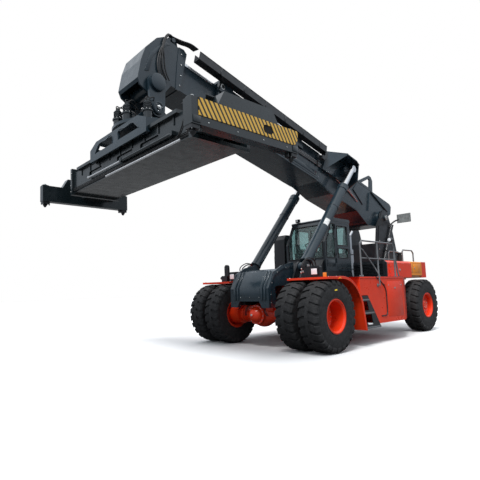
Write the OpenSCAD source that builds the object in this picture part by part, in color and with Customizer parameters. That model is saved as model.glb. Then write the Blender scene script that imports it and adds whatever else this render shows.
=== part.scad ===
// Reach stacker for 45 t containers: four-wheel chassis with a telescopic boom
// and a container spreader. X points forward, Y left, Z up. Inside this file
// the origin is on the ground under the drive axle; the last lines shift all.

/* [Wheels] */
// Distance between the drive axle and the steered axle
wheelbase = 6000; // [5700:10:6300]
// Diameter over the tread lugs
tyre_d = 1660; // [1600:5:1700]
// Width of one tyre
tyre_w = 500; // [460:5:520]
// Diameter over the rim flange
rim_flange_d = 790; // [740:5:850]
// Wall thickness of the rim barrel
rim_wall = 22; // [15:1:30]
// Distance of the inner front tyre from the middle of the machine
dual_inner_y = 1220; // [1200:5:1260]
// Centre distance of two twin tyres
dual_spacing = 640; // [620:5:680]
// Distance of a rear tyre from the middle of the machine
rear_wheel_y = 1430; // [1420:5:1480]
// Distance of the steering kingpin from the middle of the machine
kingpin_y = 1080; // [1060:5:1090]
// Diameter of the steering kingpin
kingpin_d = 110; // [90:5:120]
// Diameter of the wheel spindles of the steered axle
spindle_d = 150; // [130:5:170]

/* [Chassis] */
// Height of the body's top deck
deck_z = 1720; // [1710:5:1760]
// Width of one frame beam
beam_w = 220; // [180:5:240]
// Distance of the frame beams' outer faces from the middle
beam_y = 470; // [440:5:500]
// Length of the frame behind the steered axle
rear_overhang = 1050; // [950:10:1150]
// Half width of the nose box
nose_half_w = 650; // [600:5:700]
// Front face of the nose box, ahead of the drive axle
nose_front = 560; // [500:5:620]
// Half width over the side bodies
body_half_w = 1960; // [1900:5:2000]
// Rear end of the side bodies
body_rear = 4560; // [4450:10:4650]
// Height of the side bodies' bottom
body_bottom = 520; // [450:5:600]
// Thickness of fender sheet
fender_t = 25; // [15:1:35]
// Height of the handrails' top tube
rail_z = 2650; // [2500:10:2800]
// Diameter of a handrail tube
rail_d = 42; // [34:1:50]

/* [Cab] */
// Front face of the cab below the windscreen slope
cab_front = 1950; // [1900:10:2000]
// Rear face of the cab
cab_rear = 3300; // [3250:10:3400]
// Half width of the cab
cab_half_w = 670; // [620:5:690]
// Height of the cab floor's underside
cab_bottom = 1950; // [1900:10:2000]
// Height of the cab roof
cab_top = 3470; // [3420:10:3490]
// Thickness of the cab walls and doors
cab_wall = 45; // [35:1:60]
// Thickness of the window panes
pane_t = 8; // [5:1:12]
// Gap round a door
door_gap = 6; // [4:1:10]

/* [Boom] */
// Distance of the boom pivot behind the drive axle
pivot_x = 5750; // [5650:10:5850]
// Height of the boom pivot
pivot_z = 3800; // [3700:10:3900]
// Angle of the boom above level, as it is parked
boom_angle = 14; // [12:0.5:16]
// Half width of the outer boom box
boom_half_w = 450; // [430:5:470]
// Top face of the outer boom, above the pivot line
boom_top = 770; // [740:5:800]
// Bottom face of the outer boom, below the pivot line
boom_low = 100; // [80:5:130]
// Front end of the outer boom
boom_front = 7950; // [7800:10:8100]
// Thickness of the boom plates
boom_plate = 25; // [16:1:30]
// Space between the inner boom and the outer boom's plates
boom_space = 50; // [40:1:60]
// Running gap at the slide pads, pins and rods
run_gap = 0.5; // [0.3:0.1:1]
// Distance of the head pin from the boom pivot, along the boom
head_u = 9600; // [9500:10:9700]
// Depth of the head pin below the pivot line
head_w = 270; // [230:5:300]
// Diameter of the boom pivot pin
pivot_pin_d = 200; // [160:5:240]
// Diameter of the head pin
head_pin_d = 200; // [160:5:220]

/* [Lift cylinders] */
// Distance of the lift cylinders from the middle
lift_y = 860; // [850:5:880]
// Distance of the cylinder's foot pin behind the drive axle
foot_x = 600; // [560:5:640]
// Height of the cylinder's foot pin
foot_z = 2030; // [2000:5:2080]
// Outer diameter of a lift cylinder barrel
barrel_d = 280; // [240:5:290]
// Diameter of a lift cylinder rod
rod_d = 180; // [150:5:200]
// Place of the rod's eye along the boom
eye_u = 2640; // [2550:10:2750]
// Height of the rod's eye above the pivot line
eye_w = 630; // [560:5:660]
// Length of a lift cylinder barrel from its foot pin
barrel_l = 3250; // [3200:10:3300]
// Diameter of the lift cylinder pins
lift_pin_d = 120; // [100:5:140]

/* [Spreader] */
// Height of the head link, pin to pin
link_h = 550; // [500:10:600]
// Height of the spreader frame's underside
frame_z = 4000; // [3960:5:4040]
// Height of the spreader frame
frame_h = 500; // [460:5:540]
// Half depth of the spreader frame
frame_half = 620; // [580:5:660]
// Half length of the spreader frame
frame_half_l = 2350; // [2200:10:2450]
// Thickness of the spreader frame's plates
frame_plate = 20; // [12:1:25]
// Distance between the twistlocks along the container, parked
lock_span = 5853; // [5853:1:5853]
// Distance between the twistlocks across the container
lock_width = 2259; // [2259:1:2259]
// Height of an end beam
end_h = 403; // [360:1:440]
// Width of an end beam
end_w = 190; // [160:5:220]
// Height of the end beams' underside
end_z = 3840; // [3820:5:3880]
// Diameter of a twistlock shank
lock_d = 55; // [50:1:60]
// Reach of an end beam past its twistlocks
end_over = 90; // [80:5:110]

/* [Hidden] */
$fn = 64;

axle_z = tyre_d / 2;
steel = [0.20, 0.22, 0.25];
dark = [0.10, 0.11, 0.12];
red = [0.82, 0.20, 0.10];
black = [0.06, 0.06, 0.065];
chrome = [0.85, 0.86, 0.88];
head_x = -pivot_x + head_u * cos(boom_angle) + head_w * sin(boom_angle);
head_z = pivot_z + head_u * sin(boom_angle) - head_w * cos(boom_angle);
link_low_z = head_z - link_h;
lock_y = lock_span / 2;
lock_drop = 140;
// Gap between two pieces that stand against each other
seat = 0.3;
// Thickness of the deck plates, which is also the step up to what stands on them
deck_t = 8;
deck_top = deck_z + deck_t + seat;
// Rear end of the frame, rear face of the counterweight, and the boxes' rear face and top
frame_rear = wheelbase + rear_overhang;
rear_end = frame_rear + 100;
box_rear = wheelbase + 600;
rear_top = 2250;
// Tower plates: distance of their outer faces, thickness, feet
tower_half = 620;
tower_t = 60;
tower_front = 4880;
tower_rear = box_rear + 20;
frame_axle_z = axle_z + 240;
frame_rear_z = 1150;
frame_top = deck_z - 40;
// The origin moves to the middle of the whole machine's box, on the ground.
front_reach = head_x + lock_width / 2 + end_over;
origin_x = (front_reach - rear_end) / 2;

// An outline in X and Z, extruded from y0 to y1
module slab_y(y0, y1) {
    translate([0, y1, 0]) rotate([90, 0, 0]) linear_extrude(y1 - y0) children();
}
// An outline in Y and Z, extruded from x0 to x1
module slab_x(x0, x1) {
    translate([x0, 0, 0]) rotate([90, 0, 90]) linear_extrude(x1 - x0) children();
}
// An outline in X and Y, extruded from z0 to z1
module slab_z(z0, z1) {
    translate([0, 0, z0]) linear_extrude(z1 - z0) children();
}
// The same piece on both sides of the machine
module both_sides() {
    children();
    mirror([0, 1, 0]) children();
}
// A box between two corners
module block(a, b) {
    translate(a) cube(b - a);
}
// A round bar along Y
module rod_y(x, z, d, y0, y1) {
    translate([x, y1, z]) rotate([90, 0, 0]) cylinder(d = d, h = y1 - y0);
}
// A round bar between two points
module bar(a, b, d) {
    v = b - a;
    translate(a) rotate([0, acos(v[2] / norm(v)), atan2(v[1], v[0])]) cylinder(d = d, h = norm(v), $fn = 20);
}
// A bent tube through a list of points, with a ball a little thicker at each bend
module tube(points, d) {
    for (i = [0:len(points) - 2]) bar(points[i], points[i + 1], d);
    for (i = [1:len(points) - 2]) translate(points[i]) sphere(d = d * 1.12, $fn = 16);
}
// Points of an arc from angle a0 to a1
function arc(x, y, r, a0, a1, n = 8) =
    [for (i = [0:n]) let (a = a0 + (a1 - a0) * i / n) [x + r * cos(a), y + r * sin(a)]];
// A rectangle with rounded corners, between two corners
module round_rect(a, b, r) {
    polygon(concat(
        arc(b[0] - r, b[1] - r, r, 0, 90, 5), arc(a[0] + r, b[1] - r, r, 90, 180, 5),
        arc(a[0] + r, a[1] + r, r, 180, 270, 5), arc(b[0] - r, a[1] + r, r, 270, 360, 5)));
}
// From the boom's own frame, u along it and w above the pivot line, to the machine
module on_boom() {
    translate([-pivot_x, 0, pivot_z]) rotate([0, -boom_angle, 0]) children();
}
// From the spreader's own frame, at the slewing axis on the ground
module on_spreader() {
    translate([head_x, 0, 0]) children();
}

// Tyre section, turned about the wheel's axis; the profile is in radius and width
tyre_shoulder = 70;
module tyre(y) {
    r = tyre_d / 2;
    rr = rim_flange_d / 2 - 35;
    hw = tyre_w / 2;
    translate([0, y, 0]) rotate([90, 0, 0]) rotate_extrude($fn = 96) polygon(concat(
        [[rr, -hw + 60]], arc(rr + 150, -hw + 150, 150, 225, 270, 3),
        [[r - 190, -hw]], arc(r - tyre_shoulder, -hw + tyre_shoulder + 20, tyre_shoulder, 290, 360, 4),
        arc(r - tyre_shoulder, hw - tyre_shoulder - 20, tyre_shoulder, 0, 70, 4),
        [[r - 190, hw]], arc(rr + 150, hw - 150, 150, 90, 135, 3), [[rr, hw - 60]]));
}
// Rim barrel with its two flanges; disc_y is the disc's place, hub_r its bore
module rim(y, disc_y, bore_r) {
    r = rim_flange_d / 2;
    b = r - 36;
    hw = tyre_w / 2;
    translate([0, y, 0]) rotate([90, 0, 0]) mirror([0, 0, 1]) rotate_extrude($fn = 96) polygon([
        [bore_r, disc_y - 20], [b - rim_wall - 25, disc_y - 20], [b - rim_wall, disc_y - 45],
        [b - rim_wall, -hw + 50], [r - 24, -hw + 16], [r - 24, -hw + 6], [r, -hw + 10], [r, -hw + 38],
        [b, -hw + 60], [b, hw - 60], [r, hw - 38], [r, hw - 10], [r - 24, hw - 6], [r - 24, hw - 16],
        [b - rim_wall, hw - 50], [b - rim_wall, disc_y + 45], [b - rim_wall - 25, disc_y + 20],
        [bore_r, disc_y + 20]]);
}

// The drive axle's hub: a drum with a flat face that carries both rims
hub_bore_r = 150;
hub_r = 240;
arm_r = hub_bore_r - 6;
module twin_hub() {
    y1 = dual_inner_y + dual_spacing;
    rotate([-90, 0, 0]) rotate_extrude($fn = 64) polygon([
        [hub_bore_r, dual_inner_y - 230], [hub_r, dual_inner_y - 230], [hub_r, y1 - 50],
        [hub_r - 15, y1 - 35], [0, y1 - 35], [0, y1 - 120], [hub_bore_r, y1 - 120]]);
}
module twin_rims() {
    rim(dual_inner_y, 60, hub_r - 1);
    rim(dual_inner_y + dual_spacing, -150, hub_r - 1);
    twin_hub();
    // spacer band between the two rims
    rotate([-90, 0, 0]) difference() {
        translate([0, 0, dual_inner_y + tyre_w / 2 - 30])
            cylinder(r = rim_flange_d / 2 - 36, h = dual_spacing - tyre_w + 60, $fn = 96);
        translate([0, 0, dual_inner_y])
            cylinder(r = rim_flange_d / 2 - 36 - rim_wall, h = dual_spacing, $fn = 96);
    }
}
module tyres_front_left() {
    color(black) translate([0, 0, axle_z]) {
        tyre(dual_inner_y);
        tyre(dual_inner_y + dual_spacing);
    }
}
module rims_front_left() {
    color(red) translate([0, 0, axle_z]) twin_rims();
}
module tyres_front_right() {
    mirror([0, 1, 0]) tyres_front_left();
}
module rims_front_right() {
    mirror([0, 1, 0]) rims_front_left();
}

// Drive axle: a banjo housing with a domed cover, arms and mounting pads
axle_arm_d = 330;
banjo_r = 330;
module drive_axle() {
    color(red) translate([0, 0, axle_z]) {
        rotate([-90, 0, 0]) rotate_extrude($fn = 64) polygon(concat(
            [[0, -nose_half_w - 60]], [[axle_arm_d / 2, -nose_half_w - 60], [axle_arm_d / 2, -430]],
            arc(0, 0, banjo_r, 320, 360, 4), arc(0, 0, banjo_r, 0, 40, 4),
            [[axle_arm_d / 2, 430], [axle_arm_d / 2, nose_half_w + 60], [0, nose_half_w + 60]]));
        // domed cover facing forward
        translate([250, 0, 0]) rotate([0, 90, 0]) rotate_extrude($fn = 48) polygon(concat(
            [[0, -40], [250, -40], [250, 60]], arc(0, 20, 215, 12, 90, 6), [[0, 20]]));
        both_sides() {
            // flanges where the arms are bolted on
            rod_y(0, 0, 440, 500, 530);
            rod_y(0, 0, 440, 560, 590);
            rod_y(0, 0, 2 * arm_r, 590, dual_inner_y + dual_spacing - 130);
            // bearings of the hub
            for (y = [dual_inner_y - 220, dual_inner_y + dual_spacing - 200])
                rod_y(0, 0, 2 * (hub_bore_r - run_gap), y, y + 60);
            rod_y(0, 0, 520, nose_half_w + 60, dual_inner_y - 236);
        }
        // pads that carry the frame
        both_sides() block([-220, beam_y - beam_w, 100], [220, beam_y, frame_axle_z - axle_z - seat]);
    }
}

// Rear axle beam with an eye for each kingpin and a pivot block
eye_h = 300;
eye_d = 170;
module steer_axle() {
    x = -wheelbase;
    color(dark) {
        difference() {
            union() {
                slab_x(x - 130, x + 130) polygon([
                    [-kingpin_y + 60, axle_z - 110], [-650, axle_z - 190], [650, axle_z - 190],
                    [kingpin_y - 60, axle_z - 110], [kingpin_y - 60, axle_z + 110], [650, axle_z + 150],
                    [-650, axle_z + 150], [-kingpin_y + 60, axle_z + 110]]);
                both_sides() translate([x, kingpin_y, axle_z - eye_h / 2]) cylinder(d = eye_d, h = eye_h);
                // trunnion block under the frame
                slab_x(x - 190, x + 190) polygon([[-260, axle_z + 100], [260, axle_z + 100],
                    [200, frame_rear_z - seat], [-200, frame_rear_z - seat]]);
                // steering cylinder along the beam
                rod_y(x - 190, axle_z, 150, -420, 420);
                rod_y(x - 190, axle_z, 70, -820, 820);
            }
            both_sides() translate([x, kingpin_y, axle_z - eye_h])
                cylinder(d = kingpin_d + 2 * run_gap, h = 2 * eye_h);
        }
        for (s = [-1, 1]) block([x - 170, s * 330 - 40, axle_z - 100],
            [x - 120, s * 330 + 40, axle_z + 100]);
    }
}

// Knuckle: a fork round the eye, with its kingpin and the wheel's spindle
fork_gap = 6;
fork_t = 45;
module knuckle() {
    h = eye_h / 2 + fork_gap;
    web_y = kingpin_y + eye_d / 2 + 10;
    translate([-wheelbase, 0, axle_z]) {
        translate([0, kingpin_y, -h - fork_t]) cylinder(d = kingpin_d, h = 2 * (h + fork_t));
        for (z = [h, -h - fork_t]) {
            translate([0, kingpin_y, z]) cylinder(d = eye_d - 10, h = fork_t);
            block([-70, kingpin_y, z], [70, web_y + 40, z + fork_t]);
        }
        block([-100, web_y, -h - fork_t], [100, web_y + 40, h + fork_t]);
        rod_y(0, 0, spindle_d, web_y + 20, rear_wheel_y + 90);
        rod_y(0, 0, spindle_d + 90, web_y + 20, web_y + 90);
    }
}
module knuckle_left() {
    color(dark) knuckle();
}
module knuckle_right() {
    mirror([0, 1, 0]) knuckle_left();
}
module tyre_rear_left() {
    color(black) translate([-wheelbase, 0, axle_z]) tyre(rear_wheel_y);
}
module rim_rear_left() {
    color(red) translate([-wheelbase, 0, axle_z]) {
        rim(rear_wheel_y, 60, 149);
        rotate([-90, 0, 0]) rotate_extrude($fn = 64) polygon([
            [spindle_d / 2 + run_gap, rear_wheel_y - 60], [150, rear_wheel_y - 60],
            [150, rear_wheel_y + 130],
            [110, rear_wheel_y + 170], [0, rear_wheel_y + 170], [0, rear_wheel_y + 110],
            [spindle_d / 2 + run_gap, rear_wheel_y + 110]]);
    }
}
module tyre_rear_right() {
    mirror([0, 1, 0]) tyre_rear_left();
}
module rim_rear_right() {
    mirror([0, 1, 0]) rim_rear_left();
}

// Frame: two deep box beams with cross members, arched over both axles
frame_outline = [
    [nose_front - 120, frame_axle_z + 60], [nose_front - 120, 1500], [200, frame_top],
    [-frame_rear + 60, frame_top],
    [-frame_rear, frame_top - 60], [-frame_rear, frame_rear_z + 120], [-frame_rear + 120, frame_rear_z],
    [-5000, frame_rear_z], [-4700, 620], [-1500, 620], [-800, frame_axle_z],
    [nose_front - 180, frame_axle_z]];
module chassis_frame() {
    color(dark) {
        both_sides() slab_y(beam_y - beam_w, beam_y) polygon(frame_outline);
        // cross members: x, z low, z high
        for (m = [[-1300, 700, 1600], [-2800, 660, 1400], [-4300, 660, engine_z], [-5150, 1200, frame_top],
                  [-wheelbase, frame_rear_z, 1300], [-wheelbase - 750, 1200, frame_top]])
            block([m[0] - 60, -beam_y, m[1]], [m[0] + 60, beam_y, m[2]]);
        // floor of the lift cylinder brackets, above the inner tyres
        block([-foot_x - 330, -foot_outer, foot_floor], [-foot_x + 330, foot_outer, foot_floor + 60]);
        both_sides() {
            for (y = [lift_y - foot_in - foot_t, lift_y + foot_in])
                difference() {
                    slab_y(y, y + foot_t) polygon(concat(
                        [[-foot_x - 330, foot_floor + 30]],
                        [[-foot_x + 330, foot_floor + 30]],
                        arc(-foot_x, foot_z, 140, 20, 160, 8)));
                    rod_y(-foot_x, foot_z, lift_pin_d + 2 * run_gap, y - 10, y + foot_t + 10);
                }
        }
    }
}
foot_in = 85;
foot_t = 45;
foot_floor = frame_top;
foot_outer = lift_y + foot_in + foot_t;

// Bottom of the engine block, which stands on a cross member
engine_z = 880;

// Nose: the folded box between the front tyres, with ribs and a raised middle
module nose_box() {
    h = nose_half_w;
    low = axle_z + 190;
    color(steel) difference() {
        union() {
            intersection() {
                slab_y(-h, h) polygon([[-foot_x + 340, foot_floor - 120], [-foot_x + 340, 2010], [-60, 1990],
                    [320, 1920], [nose_front, 1500], [nose_front, low], [nose_front - 90, low],
                    [nose_front - 130, 1500], [200, foot_floor - 120]]);
                slab_x(-600, nose_front + 10) polygon([
                    [-h, low], [-h + 230, low], [-h + 320, low + 160], [h - 320, low + 160], [h - 230, low],
                    [h, low], [h, 2100], [-h, 2100]]);
            }
            // raised ribs: y from, y to
            for (r = [[-510, -450], [-390, -350], [410, 460], [520, 560]])
                slab_y(r[0], r[1]) polygon([[300, 1900], [330, 1945], [nose_front + 22, 1512],
                    [nose_front + 22, low + 180], [nose_front - 60, low + 180], [nose_front - 60, 1500]]);
            // side cheeks that rise to the lift cylinders
            both_sides() slab_y(h - 35, h) polygon([[-foot_x + 120, foot_floor + 60 + seat],
                [-foot_x + 120, foot_z + 130],
                [0, foot_z + 40], [360, 1890], [nose_front - 20, 1500], [nose_front - 20, low], [300, low],
                [300, foot_floor], [-foot_x + 340, foot_floor], [-foot_x + 340, foot_floor + 60 + seat]]);
        }
        // the frame beams stand inside the nose
        both_sides() slab_y(beam_y - beam_w - 2, beam_y + 2) polygon(frame_outline);
    }
}

// Fenders over the twin tyres: flat top, round rear and an outer lip
fender_r = tyre_d / 2 + 130;
fender_in = foot_outer + seat;
fender_out = 2110;
fender_line = concat([[260, deck_z]], arc(-330, axle_z + 20, fender_r - 90, 90, 172, 10), [[-1290, 420]]);
fender_under = concat([[260, deck_z - fender_t]],
    arc(-330, axle_z + 20, fender_r - 90 - fender_t, 90, 172, 10),
    [[-1290 + fender_t, 420]]);
function backwards(list) = [for (i = [len(list) - 1:-1:0]) list[i]];
// Depth of the lip along the fender's outer edge
lip_h = 50;
fender_lip = concat([[250, deck_z - lip_h]], arc(-330, axle_z + 20, fender_r - 90 - lip_h, 90, 172, 10),
    [[-1290 + lip_h, 420]]);
module fenders() {
    color(red) both_sides() {
        slab_y(fender_in, fender_out) polygon(concat(fender_line, backwards(fender_under)));
        slab_y(fender_out - 25, fender_out) polygon(concat(fender_line, backwards(fender_lip)));
        block([260 - fender_t, fender_in, deck_z - lip_h], [260, fender_out, deck_z]);
        // bracket to the frame
        block([-1150, nose_half_w, 900], [-1110, fender_in + 20, 1300]);
        block([-1180, fender_in - 20, 900], [-1105, fender_in + 30, 1300]);
        block([-1150, beam_y + seat, 980], [-1110, nose_half_w + 5, 1250]);
    }
}

// Side bodies: tank and locker housings with a bevelled rear corner
body_front = 1330;
body_in = beam_y + seat;
step_back = 2200;
module side_body() {
    difference() {
        intersection() {
            slab_z(body_bottom, deck_z) polygon([
                [-body_front, body_in], [-body_front, body_half_w], [-3700, body_half_w],
                [-body_rear, body_half_w - 330], [-body_rear, body_in]]);
            slab_y(0, body_half_w) polygon([
                [-body_front, body_bottom + 130], [-body_front, deck_z], [-body_rear, deck_z],
                [-body_rear, 900],
                [-body_rear + 80, body_bottom + 60], [-body_rear + 250, body_bottom],
                [-body_front - 130, body_bottom]]);
        }
        // recess for the steps
        slab_y(body_half_w - 330, body_half_w + 10) polygon([
            [-body_front + 10, body_bottom - 10], [-body_front + 10, 1260], [-body_front - 330, 1260],
            [-step_back, body_bottom - 10]]);
        // seam of the locker door
        slab_y(body_half_w - 12, body_half_w + 10) polygon(concat(
            [[-2150, deck_z + 10], [-2480, 1560]], arc(-2420, 1400, 240, 150, 180, 3),
            [[-2660, 760], [-2600, 700], [-2330, 700], [-2330, 718], [-2590, 718], [-2642, 768]],
            [[-2642, 1400], [-2465, 1545], [-2130, deck_z + 10]]));
    }
}
module side_bodies() {
    color(red) both_sides() side_body();
}

// Boarding steps: two cheeks and three treads on each side
step_w = 300;
module steps() {
    y0 = body_half_w - 330 + seat;
    y1 = body_half_w + 20;
    color(black) both_sides() {
        for (y = [y0, y1 - 20])
            difference() {
                slab_y(y, y + 20) polygon([[-body_front - 8, 430], [-body_front - 8, 1250],
                    [-body_front - 322, 1250], [-step_back - 50, 430]]);
                // z low, z high, rear limit
                for (w = [[520, 780, 380], [880, 1110, 200]])
                    slab_y(y - 5, y + 25) polygon([[-body_front - 70, w[0]], [-body_front - 70, w[1]],
                        [-body_front - 70 - w[2], w[1]], [-body_front - 150 - w[2], w[0]]]);
            }
        for (t = [[430, 860], [790, 610], [1120, 400]])
            block([-body_front - t[1], y0, t[0]], [-body_front - 8, y1, t[0] + 40]);
    }
}

// Walkway plates on the side bodies and over the middle
module deck_plates() {
    color(dark) {
        both_sides() slab_z(deck_z + seat, deck_z + deck_t) polygon([
            [-1120, beam_y - beam_w], [-1120, body_half_w], [-3700, body_half_w],
            [-3840, body_half_w - 50], [-3840, beam_y - beam_w]]);
        block([-3840, -beam_y, frame_top + seat], [-1400, beam_y, deck_z + deck_t]);
    }
}

// Handrails: a long run on the left walkway, a short one on the right
rail_y = body_half_w - 60;
rail_rear = 3400;
module rail_run(x0) {
    z0 = deck_top;
    y = rail_y;
    tube([[x0, y, z0], [x0, y, rail_z - 80], [x0 - 80, y, rail_z], [-rail_rear + 100, y, rail_z],
          [-rail_rear, y, rail_z - 120], [-rail_rear, y, z0]], rail_d);
    bar([-rail_rear, y, rail_z - 220], [-rail_rear - 200, y, z0 + 12], rail_d * 0.9);
    bar([x0, y, 2200], [-rail_rear, y, 2200], rail_d * 0.8);
}
module handrails() {
    color([0.35, 0.37, 0.40]) {
        rail_run(-1570);
        bar([-2450, rail_y, deck_top], [-2450, rail_y, rail_z], rail_d);
        // stair rail
        tube([[-1570, rail_y, 2460], [-1700, rail_y + 5, 2400], [-2150, rail_y + 60, 1950],
              [-2230, rail_y + 120, 1760], [-2230, rail_y + 120, 1500], [-2230, body_half_w + seat, 1500]],
            rail_d * 0.8);
        mirror([0, 1, 0]) rail_run(-2900);
        // grab rails on the rear boxes
        both_sides() for (y = [700, 1150])
            tube([[-5650, y, rear_top + seat], [-5650, y, rear_top + 330],
                  [-5720, y, rear_top + 390], [-6350, y, rear_top + 390],
                  [-6450, y, rear_top + 300], [-6450, y, rear_top + seat]], rail_d);
    }
}

// Engine with its gearbox, one plain block under the hood
module engine_block() {
    color([0.3, 0.3, 0.3]) block([-4950, -beam_y + beam_w + 10, engine_z + seat],
        [-3300, beam_y - beam_w - 10, frame_top - 20]);
}

// Engine hood: raised cover with a service door in each side, cut round the tower
hood_front = 3850;
hood_rear = 5450;
hood_top = 2230;
hood_half_w = 1480;
module hood_shape(x0, x1, half, z1) {
    slab_x(x0, x1) polygon([[-half, deck_z + seat], [-half, z1 - 60], [-half + 60, z1], [half - 60, z1],
        [half, z1 - 60], [half, deck_z + seat]]);
}
module engine_hood() {
    color(red) difference() {
        union() {
            hood_shape(-hood_rear, -hood_front, hood_half_w, hood_top);
            both_sides() block([-hood_front - 830, hood_half_w - 5, deck_z + 60],
                [-hood_front - 110, hood_half_w + 8, hood_top - 110]);
        }
        hood_shape(-hood_rear - 10, -hood_front - 40, hood_half_w - 40, hood_top - 40);
        block([-hood_rear - 10, -tower_half - 100, deck_z - 10],
            [-tower_front + 20, tower_half + 100, hood_top + 10]);
    }
}

// Radiator grille on the hood's front, and the air cleaner behind the tower
grille_t = 50;
slat_n = 9;
slat_pitch = 44;
cleaner_y = 925;
module air_intake() {
    x0 = -hood_front + seat;
    half = hood_half_w - 110;
    z1 = hood_top - 90;
    color(black) {
        difference() {
            slab_x(x0, x0 + grille_t) polygon([[-hood_half_w, deck_top], [-hood_half_w, hood_top - 60],
                [-hood_half_w + 60, hood_top], [hood_half_w - 60, hood_top], [hood_half_w, hood_top - 60],
                [hood_half_w, deck_top]]);
            for (y = [-half, -half / 3 + 20, half / 3 + 20])
                block([x0 + 5, y, deck_top + 50], [x0 + grille_t + 5, y + half * 2 / 3 - 20, z1]);
        }
        // slanted slats
        for (i = [0:slat_n - 1]) slab_y(-half - 5, half + 5) polygon([
            [x0 + 4, deck_top + 62 + i * slat_pitch], [x0 + 4, deck_top + 70 + i * slat_pitch],
            [x0 + grille_t - 6, deck_top + 50 + i * slat_pitch],
            [x0 + grille_t - 6, deck_top + 42 + i * slat_pitch]]);
        // air cleaner with its rain cap
        both_sides() translate([-5950, cleaner_y, rear_top + seat]) rotate_extrude($fn = 32) polygon([
            [0, 0], [60, 0], [60, 40], [75, 50], [75, 250], [60, 262], [60, 275], [88, 290], [88, 315],
            [70, 335], [0, 345]]);
    }
}

// Counterweight between and behind the rear wheels, with a towing jaw
tow_x = frame_rear + 30;
tow_pin_d = 52;
jaw_low = 1150;
jaw_high = 1430;
cw_front = wheelbase + 820;
cw_half = beam_y - beam_w - 8;
cw_top_half = 1290;
module counterweight() {
    color(red) difference() {
        union() {
            slab_y(-cw_half, cw_half) polygon([
                [-cw_front, 1000], [-cw_front, frame_top + 20], [-frame_rear, frame_top + 20],
                [-frame_rear - 90, 1500], [-frame_rear - 90, jaw_low], [-frame_rear + 60, jaw_low],
                [-frame_rear + 150, 1000]]);
            slab_z(frame_top + 45, rear_top) polygon([
                [-box_rear, -cw_top_half], [-box_rear, cw_top_half], [-rear_end + 120, cw_top_half],
                [-rear_end, cw_top_half - 140], [-rear_end, -cw_top_half + 140],
                [-rear_end + 120, -cw_top_half]]);
            block([-frame_rear - 10, -600, frame_top + seat], [-box_rear - 50, 600, frame_top + 50]);
        }
        block([-tower_rear - 20, -tower_half - 20, frame_top - 5],
            [-box_rear + 100, tower_half + 20, rear_top + 10]);
        // towing jaw with its pin hole
        block([-rear_end, -80, 1240], [-tow_x + 70, 80, 1360]);
        block([-rear_end, -60, jaw_high], [-tow_x + 50, 60, jaw_high + 150]);
        translate([-tow_x, 0, jaw_low - 10]) cylinder(d = tow_pin_d, h = jaw_high - jaw_low + 20);
    }
}

// Boxes above the rear wheels, beside the tower
box_half = 1330;
module rear_boxes() {
    color([0.92, 0.42, 0.08]) both_sides() difference() {
        slab_x(-box_rear + seat, -hood_rear - seat) polygon([[tower_half + seat, deck_z],
            [box_half - 100, deck_z], [box_half, deck_z + 80], [box_half, rear_top - 30],
            [box_half - 30, rear_top], [tower_half + seat, rear_top]]);
        slab_x(-box_rear + 40, -hood_rear + 5) polygon([[tower_half + 40, deck_z + 40],
            [box_half - 115, deck_z + 40], [box_half - 40, deck_z + 100], [box_half - 40, rear_top - 40],
            [tower_half + 40, rear_top - 40]]);
    }
}

// Tower: two tapered plates with cross plates, which carry the boom pivot
module boom_tower() {
    color(dark) {
        both_sides() {
            difference() {
                slab_y(tower_half - tower_t, tower_half) polygon(concat(
                    [[-tower_rear, frame_top], [-tower_front, frame_top], [-tower_front, 2000],
                     [-pivot_x + 560, 3500]], arc(-pivot_x, pivot_z, 270, 10, 170, 10),
                    [[-pivot_x - 480, 3400], [-tower_rear, 2100]]));
                rod_y(-pivot_x, pivot_z, pivot_pin_d + 2 * run_gap, 500, 700);
            }
            // stiffening rib along the plate's front edge
            slab_y(tower_half - 5, tower_half + 25) polygon([[-tower_front - 60, deck_z + 60],
                [-tower_front - 60, 2030], [-pivot_x + 480, 3480], [-pivot_x + 420, 3520],
                [-tower_front - 130, 2060], [-tower_front - 130, deck_z + 60]]);
            // foot between the tower plate and the frame beam
            block([-box_rear + 100, beam_y + seat, frame_top - 200],
                [-tower_front - 120, tower_half - tower_t + 5, frame_top + 60]);
            // two pipes beside the plate
            for (x = [0, 75])
                tube([[-5400 + x, tower_half + 60, 1800], [-5400 + x, tower_half + 60, 2260],
                      [-6150 + x, tower_half + 60, 3560], [-6110 + x, tower_half - 20, 3500]], 56);
        }
        // cross plates
        block([-tower_front - 240, -tower_half + tower_t - 5, frame_top + seat],
            [-tower_front - 180, tower_half - tower_t + 5, 2900]);
        block([-box_rear + 150, -tower_half + tower_t - 5, frame_top + seat],
            [-box_rear + 210, tower_half - tower_t + 5, 2600]);
        // bare plate on its arm, which faces forward
        tube([[-6060, tower_half - 20, 3560], [-6160, tower_half + 130, 3700],
              [-6230, tower_half + 300, 3770]], 50);
        block([-6212, tower_half + 200, 3620], [-6200, tower_half + 650, 3920]);
    }
}

// Exhaust stack behind the cab
module exhaust_stack() {
    color(chrome) {
        translate([-3620, 480, deck_top]) cylinder(d = 180, h = 900);
        tube([[-3620, 480, deck_z + 905], [-3620, 480, deck_z + 1350], [-3760, 480, deck_z + 1480]], 110);
    }
}

// Cabinet right of the cab, for the hydraulic valves
module hydraulic_cabinet() {
    color(black) slab_y(-cab_half_w - 510, -cab_half_w - 110) polygon([[-2400, deck_top], [-2400, 3080],
        [-2330, 3150], [-2100, 3150], [-2010, 3010], [-1960, deck_top]]);
}

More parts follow.
